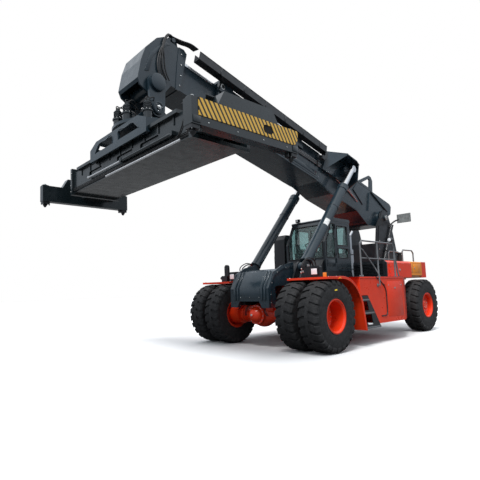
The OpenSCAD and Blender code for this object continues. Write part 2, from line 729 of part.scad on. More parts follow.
// Lamps on the fenders, the cab roof and the left handrail
lamp_x = 320;
roof_t = 40;
module lamps() {
    color([0.1, 0.1, 0.1]) {
        both_sides() {
            // headlamp in its housing
            slab_x(-lamp_x - 70, -lamp_x + 20) round_rect([1130, deck_z + seat], [1540, deck_z + 290], 40);
            slab_x(-lamp_x + 10, -lamp_x + 45) round_rect([1290, deck_z + 50], [1505, deck_z + 260], 50);
            // work lamps on the cab roof
            translate([-2420, 560, cab_top + roof_t + seat]) {
                block([-60, -12, 0], [-20, 12, 35]);
                block([-70, -65, 30], [0, 65, 125]);
                translate([-5, 0, 78]) rotate([0, 90, 0]) cylinder(d = 70, h = 19);
            }
        }
        // small lamp box on the left fender, and the work lamp at the end of the left handrail
        block([-lamp_x - 50, 1600, deck_z + seat], [-lamp_x + 10, 1720, deck_z + 130]);
        translate([-rail_rear + 150, rail_y, rail_z + rail_d / 2 + seat]) {
            block([-15, -15, 0], [15, 15, 40]);
            translate([-35, 0, 85]) rotate([0, 90, 0]) cylinder(d = 120, h = 90);
        }
    }
}

// Mirror and a position lamp on the right fender
module side_mirror() {
    color(black) {
        block([-350, -1820, deck_z + seat], [-250, -1590, deck_z + 190]);
        slab_x(-325, -270) round_rect([-1710, deck_z + 130], [-1540, deck_z + 515], 80);
        rod_y(-300, deck_z + 125, 90, -1880, -1815);
    }
}

// Cab: side outline, shell with cut windows, panes, doors and the seat inside
cab_line = [[-cab_front, cab_bottom], [-cab_front, 2780], [-cab_front - 350, cab_top - 40],
    [-cab_front - 410, cab_top], [-cab_rear + 60, cab_top], [-cab_rear, cab_top - 60],
    [-cab_rear, cab_bottom]];
cab_inner = [[-cab_front - cab_wall, cab_bottom + cab_wall], [-cab_front - cab_wall, 2790],
    [-cab_front - 350 - cab_wall, cab_top - 40 - cab_wall], [-cab_rear + cab_wall, cab_top - 40 - cab_wall],
    [-cab_rear + cab_wall, cab_bottom + cab_wall]];
door_x0 = 2500;
door_x1 = cab_rear - 75;
door_z0 = cab_bottom + 90;
door_z1 = cab_top - 110;
module cab_base() {
    color(dark) {
        slab_y(-cab_half_w + 10, cab_half_w - 10) polygon([[-1620, deck_top],
            [-cab_front + 30, cab_bottom - seat],
            [-cab_rear, cab_bottom - seat], [-cab_rear - 80, deck_top]]);
        // sloped apron under the windscreen
        slab_y(-cab_half_w + 60, cab_half_w - 60) polygon([[-1500, deck_top],
            [-cab_front + seat, cab_bottom + 330],
            [-cab_front + seat, cab_bottom - 5], [-1700, deck_top]]);
    }
}
module cab_frame() {
    w = cab_half_w;
    color([0.30, 0.33, 0.35]) difference() {
        union() {
            slab_y(-w, w) polygon(cab_line);
            slab_y(-w - 12, w + 12) polygon([[-cab_front - 350, cab_top - 55],
                [-cab_front - 330, cab_top + 10],
                [-cab_front - 400, cab_top + roof_t], [-cab_rear + 20, cab_top + roof_t],
                [-cab_rear - 20, cab_top + 5],
                [-cab_rear - 20, cab_top - 55]]);
        }
        slab_y(-w + cab_wall, w - cab_wall) polygon(cab_inner);
        // windscreen, front side windows, doors, rear window
        block([-cab_front - 410, -w + 80, 2330], [-cab_front + 5, w - 80, cab_top - 140]);
        slab_y(-w - 5, w + 5) polygon([[-cab_front - 70, 2330], [-cab_front - 70, 2800],
            [-cab_front - 345, cab_top - 140], [-door_x0 + 60, cab_top - 140], [-door_x0 + 60, 2330]]);
        slab_y(-w - 5, w + 5) round_rect([-door_x1, door_z0], [-door_x0, door_z1], 60);
        slab_x(-cab_rear - 5, -cab_rear + cab_wall + 5) round_rect([-w + 90, 2500],
            [w - 90, cab_top - 160], 60);
        // roof window
        slab_z(cab_top - 200, cab_top + 60) round_rect([-2950, -w + 170], [-2480, w - 170], 50);
    }
    // pins and brackets of the door hinges
    color([0.30, 0.33, 0.35]) both_sides() for (z = hinge_z) {
        translate([hinge_x, hinge_y, z - 25]) cylinder(d = hinge_pin_d, h = hinge_h + 50);
        for (k = [z - 30, z + hinge_h + 2]) {
            translate([hinge_x, hinge_y, k]) cylinder(d = hinge_d, h = 28);
            block([hinge_x, w - 5, k], [hinge_x + 35, w + 12, k + 28]);
        }
    }
}
module cab_glass() {
    w = cab_half_w;
    g = run_gap;
    color([0.45, 0.65, 0.65, 0.4]) {
        intersection() {
            slab_y(-w + 80 + g, w - 80 - g) polygon([[-cab_front - 12, 2330 + g], [-cab_front - 12, 2780],
                [-cab_front - 350, cab_top - 65], [-cab_front - 350 - pane_t, cab_top - 65],
                [-cab_front - 12 - pane_t, 2780], [-cab_front - 12 - pane_t, 2330 + g]]);
            block([-cab_front - 500, -w, 2330 + g], [-cab_front, w, cab_top - 140 - g]);
        }
        both_sides() slab_y(w - 20, w - 20 + pane_t) polygon([[-cab_front - 70 - g, 2330 + g],
            [-cab_front - 70 - g, 2800], [-cab_front - 345 - g, cab_top - 140 - g],
            [-door_x0 + 60 + g, cab_top - 140 - g], [-door_x0 + 60 + g, 2330 + g]]);
        slab_x(-cab_rear + 15, -cab_rear + 15 + pane_t)
            round_rect([-w + 90 + g, 2500 + g], [w - 90 - g, cab_top - 160 - g], 60);
        slab_z(cab_top + roof_t - 30, cab_top + roof_t - 30 + pane_t)
            round_rect([-2950 + g, -w + 170 + g], [-2480 - g, w - 170 - g], 50);
    }
}
module door_opening(inset) {
    round_rect([-door_x1 + inset, door_z0 + inset], [-door_x0 - inset, door_z1 - inset], 60 - inset / 2);
}
door_window = [2700, 2330];
// Door hinges: axis, heights and sizes
hinge_x = -door_x0 + 8;
hinge_y = cab_half_w + 14;
hinge_z = [2200, 3200];
hinge_d = 26;
hinge_h = 90;
hinge_pin_d = 12;
module cab_door_left() {
    w = cab_half_w;
    color([0.30, 0.33, 0.35]) difference() {
        union() {
            slab_y(w - cab_wall, w) door_opening(door_gap);
            // handle and hinge knuckles
            bar([-door_x1 + 70, w - 5, 2590], [-door_x1 + 70, w + 40, 2590], 16);
            bar([-door_x1 + 70, w - 5, 2480], [-door_x1 + 70, w + 40, 2480], 16);
            bar([-door_x1 + 70, w + 40, 2470], [-door_x1 + 70, w + 40, 2600], 18);
            for (z = hinge_z) {
                translate([hinge_x, hinge_y, z]) cylinder(d = hinge_d, h = hinge_h);
                block([-door_x0 - 60, w - 5, z + 10], [-door_x0 - door_gap - 2, w + 8, z + 80]);
                block([-door_x0 - 60, w + 1, z + 10], [hinge_x, w + 8, z + 80]);
            }
        }
        slab_y(w - cab_wall - 5, w + 5) round_rect([-door_x1 + 80, door_window[0]],
            [-door_x0 - 90, door_z1 - 70], 50);
        slab_y(w - cab_wall - 5, w + 5) round_rect([-door_x1 + 90, door_window[1]],
            [-door_x0 - 120, 2620], 40);
        for (z = hinge_z) translate([hinge_x, hinge_y, z - 5])
            cylinder(d = hinge_pin_d + 2 * run_gap, h = hinge_h + 10);
    }
}
module cab_door_right() {
    mirror([0, 1, 0]) cab_door_left();
}
module door_glass_left() {
    w = cab_half_w;
    g = run_gap;
    color([0.45, 0.65, 0.65, 0.4]) {
        slab_y(w - 26, w - 26 + pane_t)
            round_rect([-door_x1 + 80 + g, door_window[0] + g], [-door_x0 - 90 - g, door_z1 - 70 - g], 50);
        slab_y(w - 26, w - 26 + pane_t)
            round_rect([-door_x1 + 90 + g, door_window[1] + g], [-door_x0 - 120 - g, 2620 - g], 40);
    }
}
module door_glass_right() {
    mirror([0, 1, 0]) door_glass_left();
}
module cab_seat() {
    f = cab_bottom + cab_wall + seat;
    color([0.12, 0.12, 0.13]) {
        // seat, back, arm rests
        translate([-2850, 0, f]) cylinder(d = 320, h = 260);
        slab_y(-250, 250) round_rect([-3080, f + 250], [-2560, f + 420], 60);
        slab_y(-230, 230) polygon([[-3080, f + 330], [-2980, f + 360], [-3060, f + 950], [-3110, f + 1180],
            [-3180, f + 1180], [-3170, f + 800]]);
        both_sides() slab_y(260, 330) round_rect([-3040, f + 540], [-2650, f + 600], 25);
        both_sides() slab_y(240, 300) round_rect([-3080, f + 380], [-3000, f + 560], 20);
    }
}
// Steering column with its wheel, and the dashboard
module steering_column() {
    f = cab_bottom + cab_wall + seat;
    color([0.12, 0.12, 0.13]) {
        bar([-2185, 0, f + 30], [-2308, 0, f + 730], 110);
        translate([-2310, 0, f + 730]) rotate([0, -25, 0]) rotate_extrude($fn = 40) translate([190, 0])
            circle(d = 32);
        translate([-2310, 0, f + 725]) rotate([0, -25, 0]) cylinder(d = 90, h = 20);
        translate([-2310, 0, f + 730]) rotate([0, -25, 0]) for (a = [0, 90]) rotate([0, 0, a])
            translate([-190, -14, -6]) cube([380, 28, 12]);
        slab_y(-420, 420) polygon([[-2020, f], [-2020, f + 520], [-2130, f + 560], [-2190, f]]);
    }
}

// Wing over a rod's eye: a top plate between a rear and a front gusset, with room for the eye
wing_u0 = eye_u - 340;
wing_u1 = eye_u + 900;
wing_y = 960;
wing_t = 28;
cap_w = boom_top + 160;
module eye_wing() {
    y0 = boom_half_w + 90;
    w = eye_w + 275;
    slab_z(w, w + wing_t) polygon([[wing_u0, y0], [wing_u0, wing_y - 60], [eye_u - 80, wing_y],
        [eye_u + 460, wing_y], [wing_u1, y0]]);
    slab_x(wing_u0 + 8, wing_u0 + 8 + wing_t) polygon([[boom_half_w - 5, 50], [boom_half_w - 5, w + 20],
        [wing_y - 70, w + 20], [wing_y - 70, w - 540]]);
    run = [eye_u + 460 - wing_u1, wing_y - y0];
    translate([wing_u1, y0, 0]) rotate([90, 0, atan2(run[1], run[0])]) translate([0, 0, -10])
        linear_extrude(wing_t) polygon([[-12, 330], [-12, w + 20], [norm(run) + 14, w + 20],
            [norm(run) + 14, w - 20]]);
}

// Outer boom: a hollow box with a deep rear end that turns on the pivot pin
boom_rear = 730;
collar_l = 240;
boom_line = concat(
    [[boom_front, -boom_low], [boom_front, boom_top], [-boom_rear + 130, boom_top],
    [-boom_rear, boom_top - 70],
     [-boom_rear, 420]], arc(0, 0, 300, 170, 262, 8), arc(760, -130, 350, 245, 300, 6),
    [[1500, -240], [3000, -230], [3700, -boom_low]]);
module boom_outer() {
    hw = boom_half_w;
    b = boom_plate;
    color(steel) difference() {
        on_boom() {
            slab_y(-hw, hw) polygon(boom_line);
            // front collar
            block([boom_front - collar_l, -hw - 40, -boom_low - 40],
                [boom_front + 5, hw + 40, boom_top + 40]);
            // flange strips along the top and bottom corners
            both_sides() for (w = [-boom_low + 5, boom_top - 35])
                block([3800, hw - 5, w], [boom_front - collar_l, hw + 18, w + 30]);
            // cheeks that hold the rods' eyes, with a cap over the boom
            both_sides() slab_y(hw - 5, hw + 95) polygon([[eye_u - 560, 640], [eye_u - 420, cap_w],
                [eye_u - 60, cap_w + 70], [eye_u + 200, cap_w], [wing_u1, boom_top + 140],
                [wing_u1 + 120, 300], [eye_u + 200, 300], [eye_u - 250, 330]]);
            slab_y(-hw - 95, hw + 95) polygon([[eye_u - 420, boom_top - 5], [eye_u - 420, cap_w],
                [eye_u - 60, cap_w + 70], [eye_u + 200, cap_w], [eye_u + 500, boom_top - 5]]);
            both_sides() eye_wing();
            // folded panel, upright rib and top rib on the rear sides
            both_sides() {
                slab_y(hw - 5, hw + 28) polygon([[985, 640], [1640, 680], [1840, 380], [1200, 80]]);
                block([840, hw - 5, 0], [870, hw + 45, 640]);
                slab_y(hw - 5, hw + 45) polygon([[760, 700], [700, 740], [-500, 440], [-440, 400]]);
            }
            // hose guide that stands on the top
            slab_y(hw - 75, hw - 20) difference() {
                polygon([[560, boom_top - 5], [620, 1180], [730, 1280], [870, 1280], [1500, 840],
                    [1500, boom_top - 5]]);
                polygon([[760, 850], [790, 1150], [860, 1170], [1300, 850]]);
            }
            both_sides() slab_y(hw - 5, hw + 60) circle(r = 260);
            // brackets that carry the hose tray
            for (u = tray_brackets) slab_y(hw - 5, tray_y0 + 20) polygon([[u - 260, 500],
                [u - 160, tray_w - seat], [u + 160, tray_w - seat], [u + 260, 500]]);
        }
        on_boom() {
            slab_y(-hw + b, hw - b) polygon([[500, -boom_low + b], [boom_front + 10, -boom_low + b],
                [boom_front + 10, boom_top - b], [500, boom_top - b]]);
        }
    }
    // pivot pin, through the tower plates
    color(chrome) rod_y(-pivot_x, pivot_z, pivot_pin_d, -tower_half - 40, tower_half + 40);
    // slide pads in the collar
    color([0.75, 0.72, 0.6]) on_boom() {
        for (w = [inner_low - run_gap, inner_top + run_gap]) let (d = w < 300 ? -1 : 1)
            both_sides() block([boom_front - 420, inner_half - 190, min(w, w + d * pad_t)],
                [boom_front - 60, inner_half - 20, max(w, w + d * pad_t)]);
        both_sides() for (w = [inner_low + 90, inner_top - 230])
            block([boom_front - 420, inner_half + run_gap, w],
                [boom_front - 60, boom_half_w - boom_plate, w + 140]);
    }
    // eye pins' fixed ends
    color(steel) on_boom() both_sides() rod_y(eye_u, eye_w, 300, hw + 90, boss_y);
}
tray_brackets = [4900, 6300, 7700];
// End of the boss that the rod eye stands beside; the barrel passes it
boss_y = lift_y - barrel_d / 2 - 25;
tray_y0 = boom_half_w + 60;
tray_y1 = tray_y0 + 190;

// Inner boom: a hollow box that slides in the outer one
inner_half = boom_half_w - boom_plate - boom_space;
inner_low = -boom_low + boom_plate + boom_space;
inner_top = boom_top - boom_plate - boom_space;
inner_rear = 1250;
inner_front = 9150;
pad_t = boom_space - run_gap;
module boom_inner() {
    color(steel) on_boom() {
        difference() {
            slab_y(-inner_half, inner_half) polygon([[inner_rear, inner_low], [inner_front, inner_low],
                [inner_front, inner_top], [inner_rear, inner_top]]);
            slab_y(-inner_half + 18, inner_half - 18) polygon([[inner_rear - 10, inner_low + 18],
                [inner_front + 10, inner_low + 18], [inner_front + 10, inner_top - 18],
                [inner_rear - 10, inner_top - 18]]);
        }
        // wear strips on the upper corners
        both_sides() block([inner_rear + 100, inner_half - 1, inner_top - 70],
            [head_u0 - 10, inner_half + 12, inner_top - 5]);
    }
}

// Boom head: the folded gooseneck that carries the head pin
head_half = 400;
head_u0 = 8960;
head_line = [[head_u0, inner_low - 20], [head_u0, inner_top + 10], [9160, 930], [9600, 950], [9780, 800],
    [9990, 430], [10030, 100], [10020, -330], [9930, -450], [9700, -520], [9480, -500], [9330, -330],
    [9200, -60]];
module boom_head() {
    color(steel) on_boom() {
        difference() {
            slab_y(-head_half, head_half) polygon(head_line);
            // hollow, open below between the cheeks
            slab_y(-head_half + 40, head_half - 40) polygon([[8990, inner_low - 60], [9150, inner_top + 40],
                [9185, 890], [9585, 910], [9750, 770], [9950, 420], [9990, 100], [9980, -320], [9950, -600],
                [9000, -600]]);
            slab_y(-inner_half - run_gap, inner_half + run_gap) polygon([[8900, inner_low - run_gap],
                [inner_front, inner_low - run_gap], [inner_front, inner_top + run_gap],
                [8900, inner_top + run_gap]]);
        }
        // bulkhead that closes the inner boom
        slab_x(inner_front + run_gap, inner_front + 30) round_rect([-head_half + 35, inner_low - 10],
            [head_half - 35, inner_top + 10], 40);
        // bosses at the head pin
        both_sides() rod_y(head_u, -head_w, 340, head_half - 45, head_half + 30);
        rod_y(head_u, -head_w, 300, -head_half + 5, head_half - 5);
        // hose roller on top, on two ears
        both_sides() slab_y(head_half - 90, head_half - 60) polygon([[9150, 900], [9260, 1120],
            [9420, 1120], [9560, 930]]);
        rod_y(9340, 1060, 200, -head_half + 100, head_half - 100);
        rod_y(9340, 1060, 60, -head_half + 50, head_half - 50);
        // stay plates between the head and the hose tray
        both_sides() slab_y(head_half - 10, head_half + 15) polygon([[8960, -60], [8960, 900],
            [9060, 960], [9200, 940],
            [9160, 500], [9080, -80]]);
    }
    color(chrome) on_boom() rod_y(head_u, -head_w, head_pin_d, -link_y1 - 12, link_y1 + 12);
}

// Hose tray beside the boom, with the guide chain lying in it
tray_u0 = 3770;
tray_u1 = 8800;
tray_w = boom_top - 30;
chain_n = 34;
chain_pitch = 128;
module hose_tray() {
    color(black) on_boom() {
        slab_x(tray_u0, tray_u1) polygon([[tray_y0, tray_w], [tray_y1, tray_w], [tray_y1, tray_w + 190],
            [tray_y1 - 12, tray_w + 190], [tray_y1 - 12, tray_w + 12], [tray_y0 + 12, tray_w + 12],
            [tray_y0 + 12, tray_w + 190], [tray_y0, tray_w + 190]]);
        // flat links of the guide chain
        for (i = [0:chain_n - 1]) block([tray_u0 + 120 + i * chain_pitch, tray_y0 + 30, tray_w + 12],
            [tray_u0 + 120 + (i + 0.8) * chain_pitch, tray_y1 - 30, tray_w + 150]);
        // the chain's loop at the rear end
        for (i = [0:7]) translate([tray_u0 + 60, 0, tray_w - 60]) rotate([0, -i * 25 - 5, 0])
            block([-70, tray_y0 + 30, 60], [50, tray_y1 - 30, 175]);
    }
}

// Lift cylinders: barrels on the frame, rods up to the boom
eye_x = -pivot_x + eye_u * cos(boom_angle) - eye_w * sin(boom_angle);
eye_z = pivot_z + eye_u * sin(boom_angle) + eye_w * cos(boom_angle);
lift_angle = atan2(eye_z - foot_z, eye_x + foot_x);
lift_l = norm([eye_x + foot_x, eye_z - foot_z]);
eye_half = 75;
// From a cylinder's own frame, z along it from the foot pin
module on_cylinder() {
    translate([-foot_x, lift_y, foot_z]) rotate([0, 90 - lift_angle, 0]) children();
}
module lift_barrels() {
    color(steel) both_sides() {
        difference() {
            on_cylinder() union() {
                rotate([90, 0, 0]) translate([0, 0, -foot_in + 5]) cylinder(d = 240, h = 2 * (foot_in - 5));
                translate([0, 0, 60]) cylinder(d = 2 * foot_in - 14, h = 110);
                translate([0, 0, barrel_start]) cylinder(d = barrel_d, h = barrel_l - barrel_start);
                translate([0, 0, barrel_start]) cylinder(d = barrel_d + 24, h = 55);
                translate([0, 0, barrel_l - 180]) cylinder(d = barrel_d + 30, h = 180);
            }
            on_cylinder() translate([0, 0, barrel_bottom])
                cylinder(d = bore_d, h = barrel_l - gland_l - barrel_bottom);
            on_cylinder() translate([0, 0, barrel_l - gland_l - 10])
                cylinder(d = rod_d + 2 * run_gap, h = 400);
        }
        // foot pins
        rod_y(-foot_x, foot_z, lift_pin_d, lift_y - foot_in - foot_t - 15, lift_y + foot_in + foot_t + 15);
        // pipe along the barrel
        on_cylinder() {
            translate([0, -barrel_d / 2 - 22, 320]) cylinder(d = 32, h = barrel_l - 420, $fn = 24);
            for (z = [300, barrel_l - 160]) translate([-25, -barrel_d / 2 - 40, z]) cube([50, 60, 50]);
        }
    }
}
barrel_start = 160;
barrel_bottom = 200;
gland_l = 120;
bore_d = barrel_d - 50;
piston_l = 140;
module lift_rods() {
    color(chrome) both_sides() on_cylinder() {
        translate([0, 0, rod_low]) cylinder(d = rod_d, h = lift_l - rod_low - 60);
        translate([0, 0, rod_low]) cylinder(d = bore_d - 2 * run_gap, h = piston_l);
        translate([0, 0, lift_l]) rotate([90, 0, 0]) translate([0, 0, -eye_half])
            cylinder(d = 210, h = 2 * eye_half);
        // eye pin with its head, which ends just before the boss
        translate([0, 0, lift_l]) rotate([90, 0, 0]) translate([0, 0, -eye_half - 14])
            cylinder(d = lift_pin_d, h = eye_half + 14 + lift_y - boss_y - 5);
    }
}
rod_low = 850;

// Link between the boom head and the spreader, two plates and their lower pin
link_y0 = head_half + 35;
link_y1 = link_y0 + 70;
link_pin_d = 150;
module head_link() {
    color(steel) {
        both_sides() difference() {
            union() {
                slab_y(link_y0, link_y1) polygon(concat(
                    arc(head_x, head_z, 215, 10, 170, 10), arc(head_x, link_low_z, 185, 190, 350, 10)));
                rod_y(head_x, head_z, 380, link_y1 - 5, link_y1 + 45);
                rod_y(head_x, link_low_z, 280, link_y1 - 5, link_y1 + 35);
            }
            rod_y(head_x, head_z, head_pin_d + 2 * run_gap, link_y0 - 10, link_y1 + 30);
        }
        rod_y(head_x, link_low_z, link_pin_d, -link_y1 - 30, link_y1 + 30);
    }
}

// Rotator: clevis plates on a round top plate; it hangs on the link's lower pin
top_plate_z = frame_z + frame_h + 60 + 370;
plate_t = 60;
rotator_r = 715;
ring_gap = run_gap;
clevis_y1 = link_y0 - 8;
clevis_y0 = clevis_y1 - 75;
module rotator() {
    z = top_plate_z + ring_gap;
    color(steel) {
        translate([head_x, 0, z]) cylinder(r = rotator_r, h = plate_t);
        both_sides() difference() {
            slab_y(clevis_y0, clevis_y1) polygon(concat([[head_x + 520, z + plate_t - 5]],
                [[head_x + 430, z + 150]], arc(head_x, link_low_z, 170, 40, 140, 8),
                [[head_x - 430, z + 150], [head_x - 520, z + plate_t - 5]]));
            rod_y(head_x, link_low_z, link_pin_d + 2 * run_gap, clevis_y0 - 10, clevis_y1 + 10);
        }
        block([head_x - 420, -clevis_y0 - 5, z + plate_t - 5], [head_x - 380, clevis_y0 + 5, z + 150]);
    }
}
module slew_motors() {
    z = top_plate_z + ring_gap + plate_t + seat;
    // x and y from the slewing axis
    color(dark) translate([head_x, 0, z]) for (m = [[560, 190], [560, -190], [290, 545], [290, -545]])
        translate([m[0], m[1], 0]) {
        cylinder(d = 190, h = 150);
        translate([0, 0, 150]) cylinder(d = 230, h = 30);
        translate([0, 0, 180]) cylinder(d = 150, h = 170);
        translate([0, 0, 350]) cylinder(d = 90, h = 40);
    }
}

// Carriage: the slewing ring's lower half on a bridge that slides along the frame
bridge_half = 1150;
bridge_low = frame_z + frame_h + 60;
module carriage() {
    fx = frame_half + 80;
    color(steel) translate([head_x, 0, 0]) {
        translate([0, 0, top_plate_z - 90]) cylinder(r = 640, h = 90);
        slab_z(top_plate_z - 150, top_plate_z - 85) round_rect([-fx, -bridge_half + 250],
            [fx, bridge_half - 250], 120);
        // front and rear side frames with openings
        for (x = [-fx - 40, fx]) difference() {
            slab_x(x, x + 40) polygon([[-bridge_half, frame_z + frame_h - 60],
                [-bridge_half, bridge_low + 150],
                [-bridge_half + 300, top_plate_z - 85], [bridge_half - 300, top_plate_z - 85],
                [bridge_half, bridge_low + 150], [bridge_half, frame_z + frame_h - 60]]);
            for (s = [-1, 1]) slab_x(x - 5, x + 45) polygon([[s * 130, bridge_low + 30],
                [s * 130, top_plate_z - 180], [s * 700, top_plate_z - 180], [s * 880, bridge_low + 30]]);
        }
        // feet that slide on the frame's top flange, with hooks under it
        for (s = [-1, 1], x = [-1, 1]) {
            slab_y(s * (bridge_half - 100) - 100, s * (bridge_half - 100) + 100) polygon([
                [x * (frame_half - 80), bridge_low + run_gap], [x * (fx + 5), bridge_low + run_gap],
                [x * (fx + 5), bridge_low + 140], [x * (frame_half - 80), bridge_low + 140]]);
            slab_y(s * (bridge_half - 100) - 100, s * (bridge_half - 100) + 100) polygon([
                [x * (frame_half + 30), frame_z + frame_h - 60], [x * (fx + 5), frame_z + frame_h - 60],
                [x * (fx + 5), frame_z + frame_h - 6], [x * (frame_half + 30), frame_z + frame_h - 6]]);
        }
        for (s = [-1, 1]) block([-fx - 5, s * (bridge_half - 100) - 60, bridge_low + 100],
            [fx + 5, s * (bridge_half - 100) + 60, bridge_low + 170]);
    }
}

// Spreader frame: a box with two tunnels, top flanges and end collars
tunnel_gap = 10;
collar_t = 90;
flange_half_l = 2000;
module spreader_frame() {
    p = frame_plate;
    color(dark) on_spreader() {
        difference() {
            union() {
                block([-frame_half, -frame_half_l, frame_z], [frame_half, frame_half_l, frame_z + frame_h]);
                block([-frame_half - 70, -flange_half_l, frame_z + frame_h - 5],
                    [frame_half + 70, flange_half_l, frame_z + frame_h + 60]);
                for (s = [-1, 1])
                    block([-frame_half - 60, s * (frame_half_l - 10) - collar_t / 2, frame_z - 50],
                    [frame_half + 60, s * (frame_half_l - 10) + collar_t / 2, frame_z + frame_h + 110]);
                // stiffeners under the flange
                for (x = [-1, 1], i = [-4:4]) slab_y(i * 460 - 12, i * 460 + 12) polygon([
                    [x * (frame_half - 5), frame_z + frame_h - 160],
                    [x * (frame_half + 20), frame_z + frame_h - 160],
                    [x * (frame_half + 20), frame_z + frame_h], [x * (frame_half - 5), frame_z + frame_h]]);
            }
            for (x = [-1, 1]) block([min(x * p / 2, x * (frame_half - p)), -frame_half_l - 100, frame_z + p],
                [max(x * p / 2, x * (frame_half - p)), frame_half_l + 100, frame_z + frame_h - p]);
            // hatches in the sides
            for (x = [-1, 1], y = [-1450, -150, 750]) slab_x(x * frame_half - p - 5, x * frame_half + p + 5)
                round_rect([y, frame_z + 230], [y + 620, frame_z + 330], 40);
        }
        // slide pads at both ends of both tunnels
        for (s = [-1, 1], x = [-1, 1])
            translate([x * (frame_half / 2 - p / 4), s * (frame_half_l - 160), frame_z + p])
            translate([-180, -110, -1]) cube([360, 220, tunnel_gap + 1 - run_gap]);
        // spreading cylinders on both long sides
        for (x = [-1, 1]) {
            rod_y(x * (frame_half + 52), frame_z + 170, 74, x * 1000 - 900, x * 1000 + 900);
            for (y = [x * 1000 - 860, x * 1000 + 860])
                block([x * (frame_half + 45) - 52, y - 30, frame_z + 130],
                    [x * (frame_half + 45) + 52, y + 30, frame_z + 210]);
        }
    }
}

// Telescopic beam with its end beam, for the left side in the front tunnel
beam_inner = 2250;
module telescope_left() {
    p = frame_plate;
    x0 = p / 2 + tunnel_gap;
    x1 = frame_half - p - tunnel_gap;
    color(dark) on_spreader() {
        difference() {
            block([x0, -beam_inner, frame_z + p + tunnel_gap],
                [x1, lock_y - end_w / 2 + 5, frame_z + frame_h - p - tunnel_gap]);
            block([x0 + 14, -beam_inner - 10, frame_z + p + tunnel_gap + 14],
                [x1 - 14, lock_y - end_w / 2 - 20, frame_z + frame_h - p - tunnel_gap - 14]);
        }
        // end beam with raised middle
        difference() {
            slab_y(lock_y - end_w / 2, lock_y + end_w / 2) polygon([
                [-lock_width / 2 - end_over, end_z], [lock_width / 2 + end_over, end_z],
                [lock_width / 2 + end_over, end_z + end_h],
                [700, end_z + end_h], [560, frame_z + frame_h - 20], [-560, frame_z + frame_h - 20],
                [-700, end_z + end_h], [-lock_width / 2 - end_over, end_z + end_h]]);
            slab_y(lock_y - end_w / 2 + 16, lock_y + end_w / 2 - 16) polygon([
                [-lock_width / 2 + 110, end_z + 16], [lock_width / 2 - 110, end_z + 16],
                [lock_width / 2 - 110, end_z + end_h - 16], [-lock_width / 2 + 110, end_z + end_h - 16]]);
            for (x = [-1, 1]) translate([x * lock_width / 2, lock_y, end_z - 10])
                cylinder(d = lock_d + 2 * run_gap, h = 220);
        }
        // gussets between beam and end beam
        for (z = [frame_z + p + tunnel_gap + 5, frame_z + frame_h - p - tunnel_gap - 25])
            slab_z(z, z + 20) polygon([[x1 - 20, lock_y - 330], [x1 + 180, lock_y - end_w / 2 + 5],
                [x0 - 200, lock_y - end_w / 2 + 5], [x0 + 20, lock_y - 330]]);
    }
}
module telescope_right() {
    translate([2 * head_x, 0, 0]) rotate([0, 0, 180]) telescope_left();
}
module twistlocks_left() {
    color([0.25, 0.25, 0.27]) on_spreader() for (x = [-1, 1]) translate([x * lock_width / 2, lock_y, 0]) {
        // housing, shank, head
        slab_z(end_z - 60, end_z - seat) round_rect([-85, -80], [85, 80], 20);
        translate([0, 0, end_z - lock_drop + 40]) cylinder(d = lock_d, h = 300);
        translate([0, 0, end_z - lock_drop]) cylinder(d1 = 40, d2 = 100, h = 45);
        intersection() {
            translate([0, 0, end_z - lock_drop + 44]) cylinder(d = 104, h = 30);
            translate([-52, -31, end_z - lock_drop + 40]) cube([104, 62, 40]);
        }
    }
}
module twistlocks_right() {
    translate([2 * head_x, 0, 0]) rotate([0, 0, 180]) twistlocks_left();
}
// Striped warning panel on the end beam's outer face
panel_t = 12;
panel_low = 135;
panel_front = lock_width / 2 - 40;
module hazard_panel_left() {
    y = lock_y + end_w / 2;
    color([0.93, 0.72, 0.15]) on_spreader() difference() {
        slab_y(y + seat, y + seat + panel_t) polygon([[-lock_width / 2 + 20, end_z + panel_low],
            [-lock_width / 2 - 80, end_z + 250], [-lock_width / 2 - 80, end_z + end_h - 4],
            [panel_front, end_z + end_h - 4], [panel_front, end_z + panel_low]]);
        slab_y(y - 5, y + panel_t + 5) round_rect([-546, end_z + 186], [-294, end_z + 329], 70);
    }
}
module hazard_panel_right() {
    translate([2 * head_x, 0, 0]) rotate([0, 0, 180]) hazard_panel_left();
}

// Each piece in its place, from the origin under the middle of the machine
module placed() {
    translate([-origin_x, 0, 0]) children();
}
placed() chassis_frame();
placed() nose_box();
placed() drive_axle();
placed() steer_axle();
placed() fenders();
placed() side_bodies();
placed() steps();
placed() deck_plates();
placed() handrails();
placed() engine_block();
placed() engine_hood();
placed() air_intake();
placed() counterweight();
placed() rear_boxes();
placed() boom_tower();
placed() exhaust_stack();
placed() hydraulic_cabinet();
placed() lamps();
placed() side_mirror();
placed() cab_base();
placed() cab_frame();
placed() cab_glass();
placed() cab_seat();
placed() steering_column();
placed() cab_door_left();
placed() cab_door_right();
placed() door_glass_left();
placed() door_glass_right();
placed() tyres_front_left();
placed() rims_front_left();
placed() tyres_front_right();
placed() rims_front_right();
placed() knuckle_left();
placed() knuckle_right();
placed() tyre_rear_left();
placed() rim_rear_left();
placed() tyre_rear_right();
placed() rim_rear_right();
placed() boom_outer();
placed() hose_tray();
placed() boom_inner();
placed() boom_head();
placed() lift_barrels();
placed() lift_rods();
placed() head_link();
placed() rotator();
placed() slew_motors();
placed() carriage();
placed() spreader_frame();
placed() telescope_left();
placed() telescope_right();
placed() twistlocks_left();
placed() twistlocks_right();
placed() hazard_panel_left();
placed() hazard_panel_right();
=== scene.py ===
import bpy
from math import cos, pi, radians, sin
from mathutils import Matrix, Vector


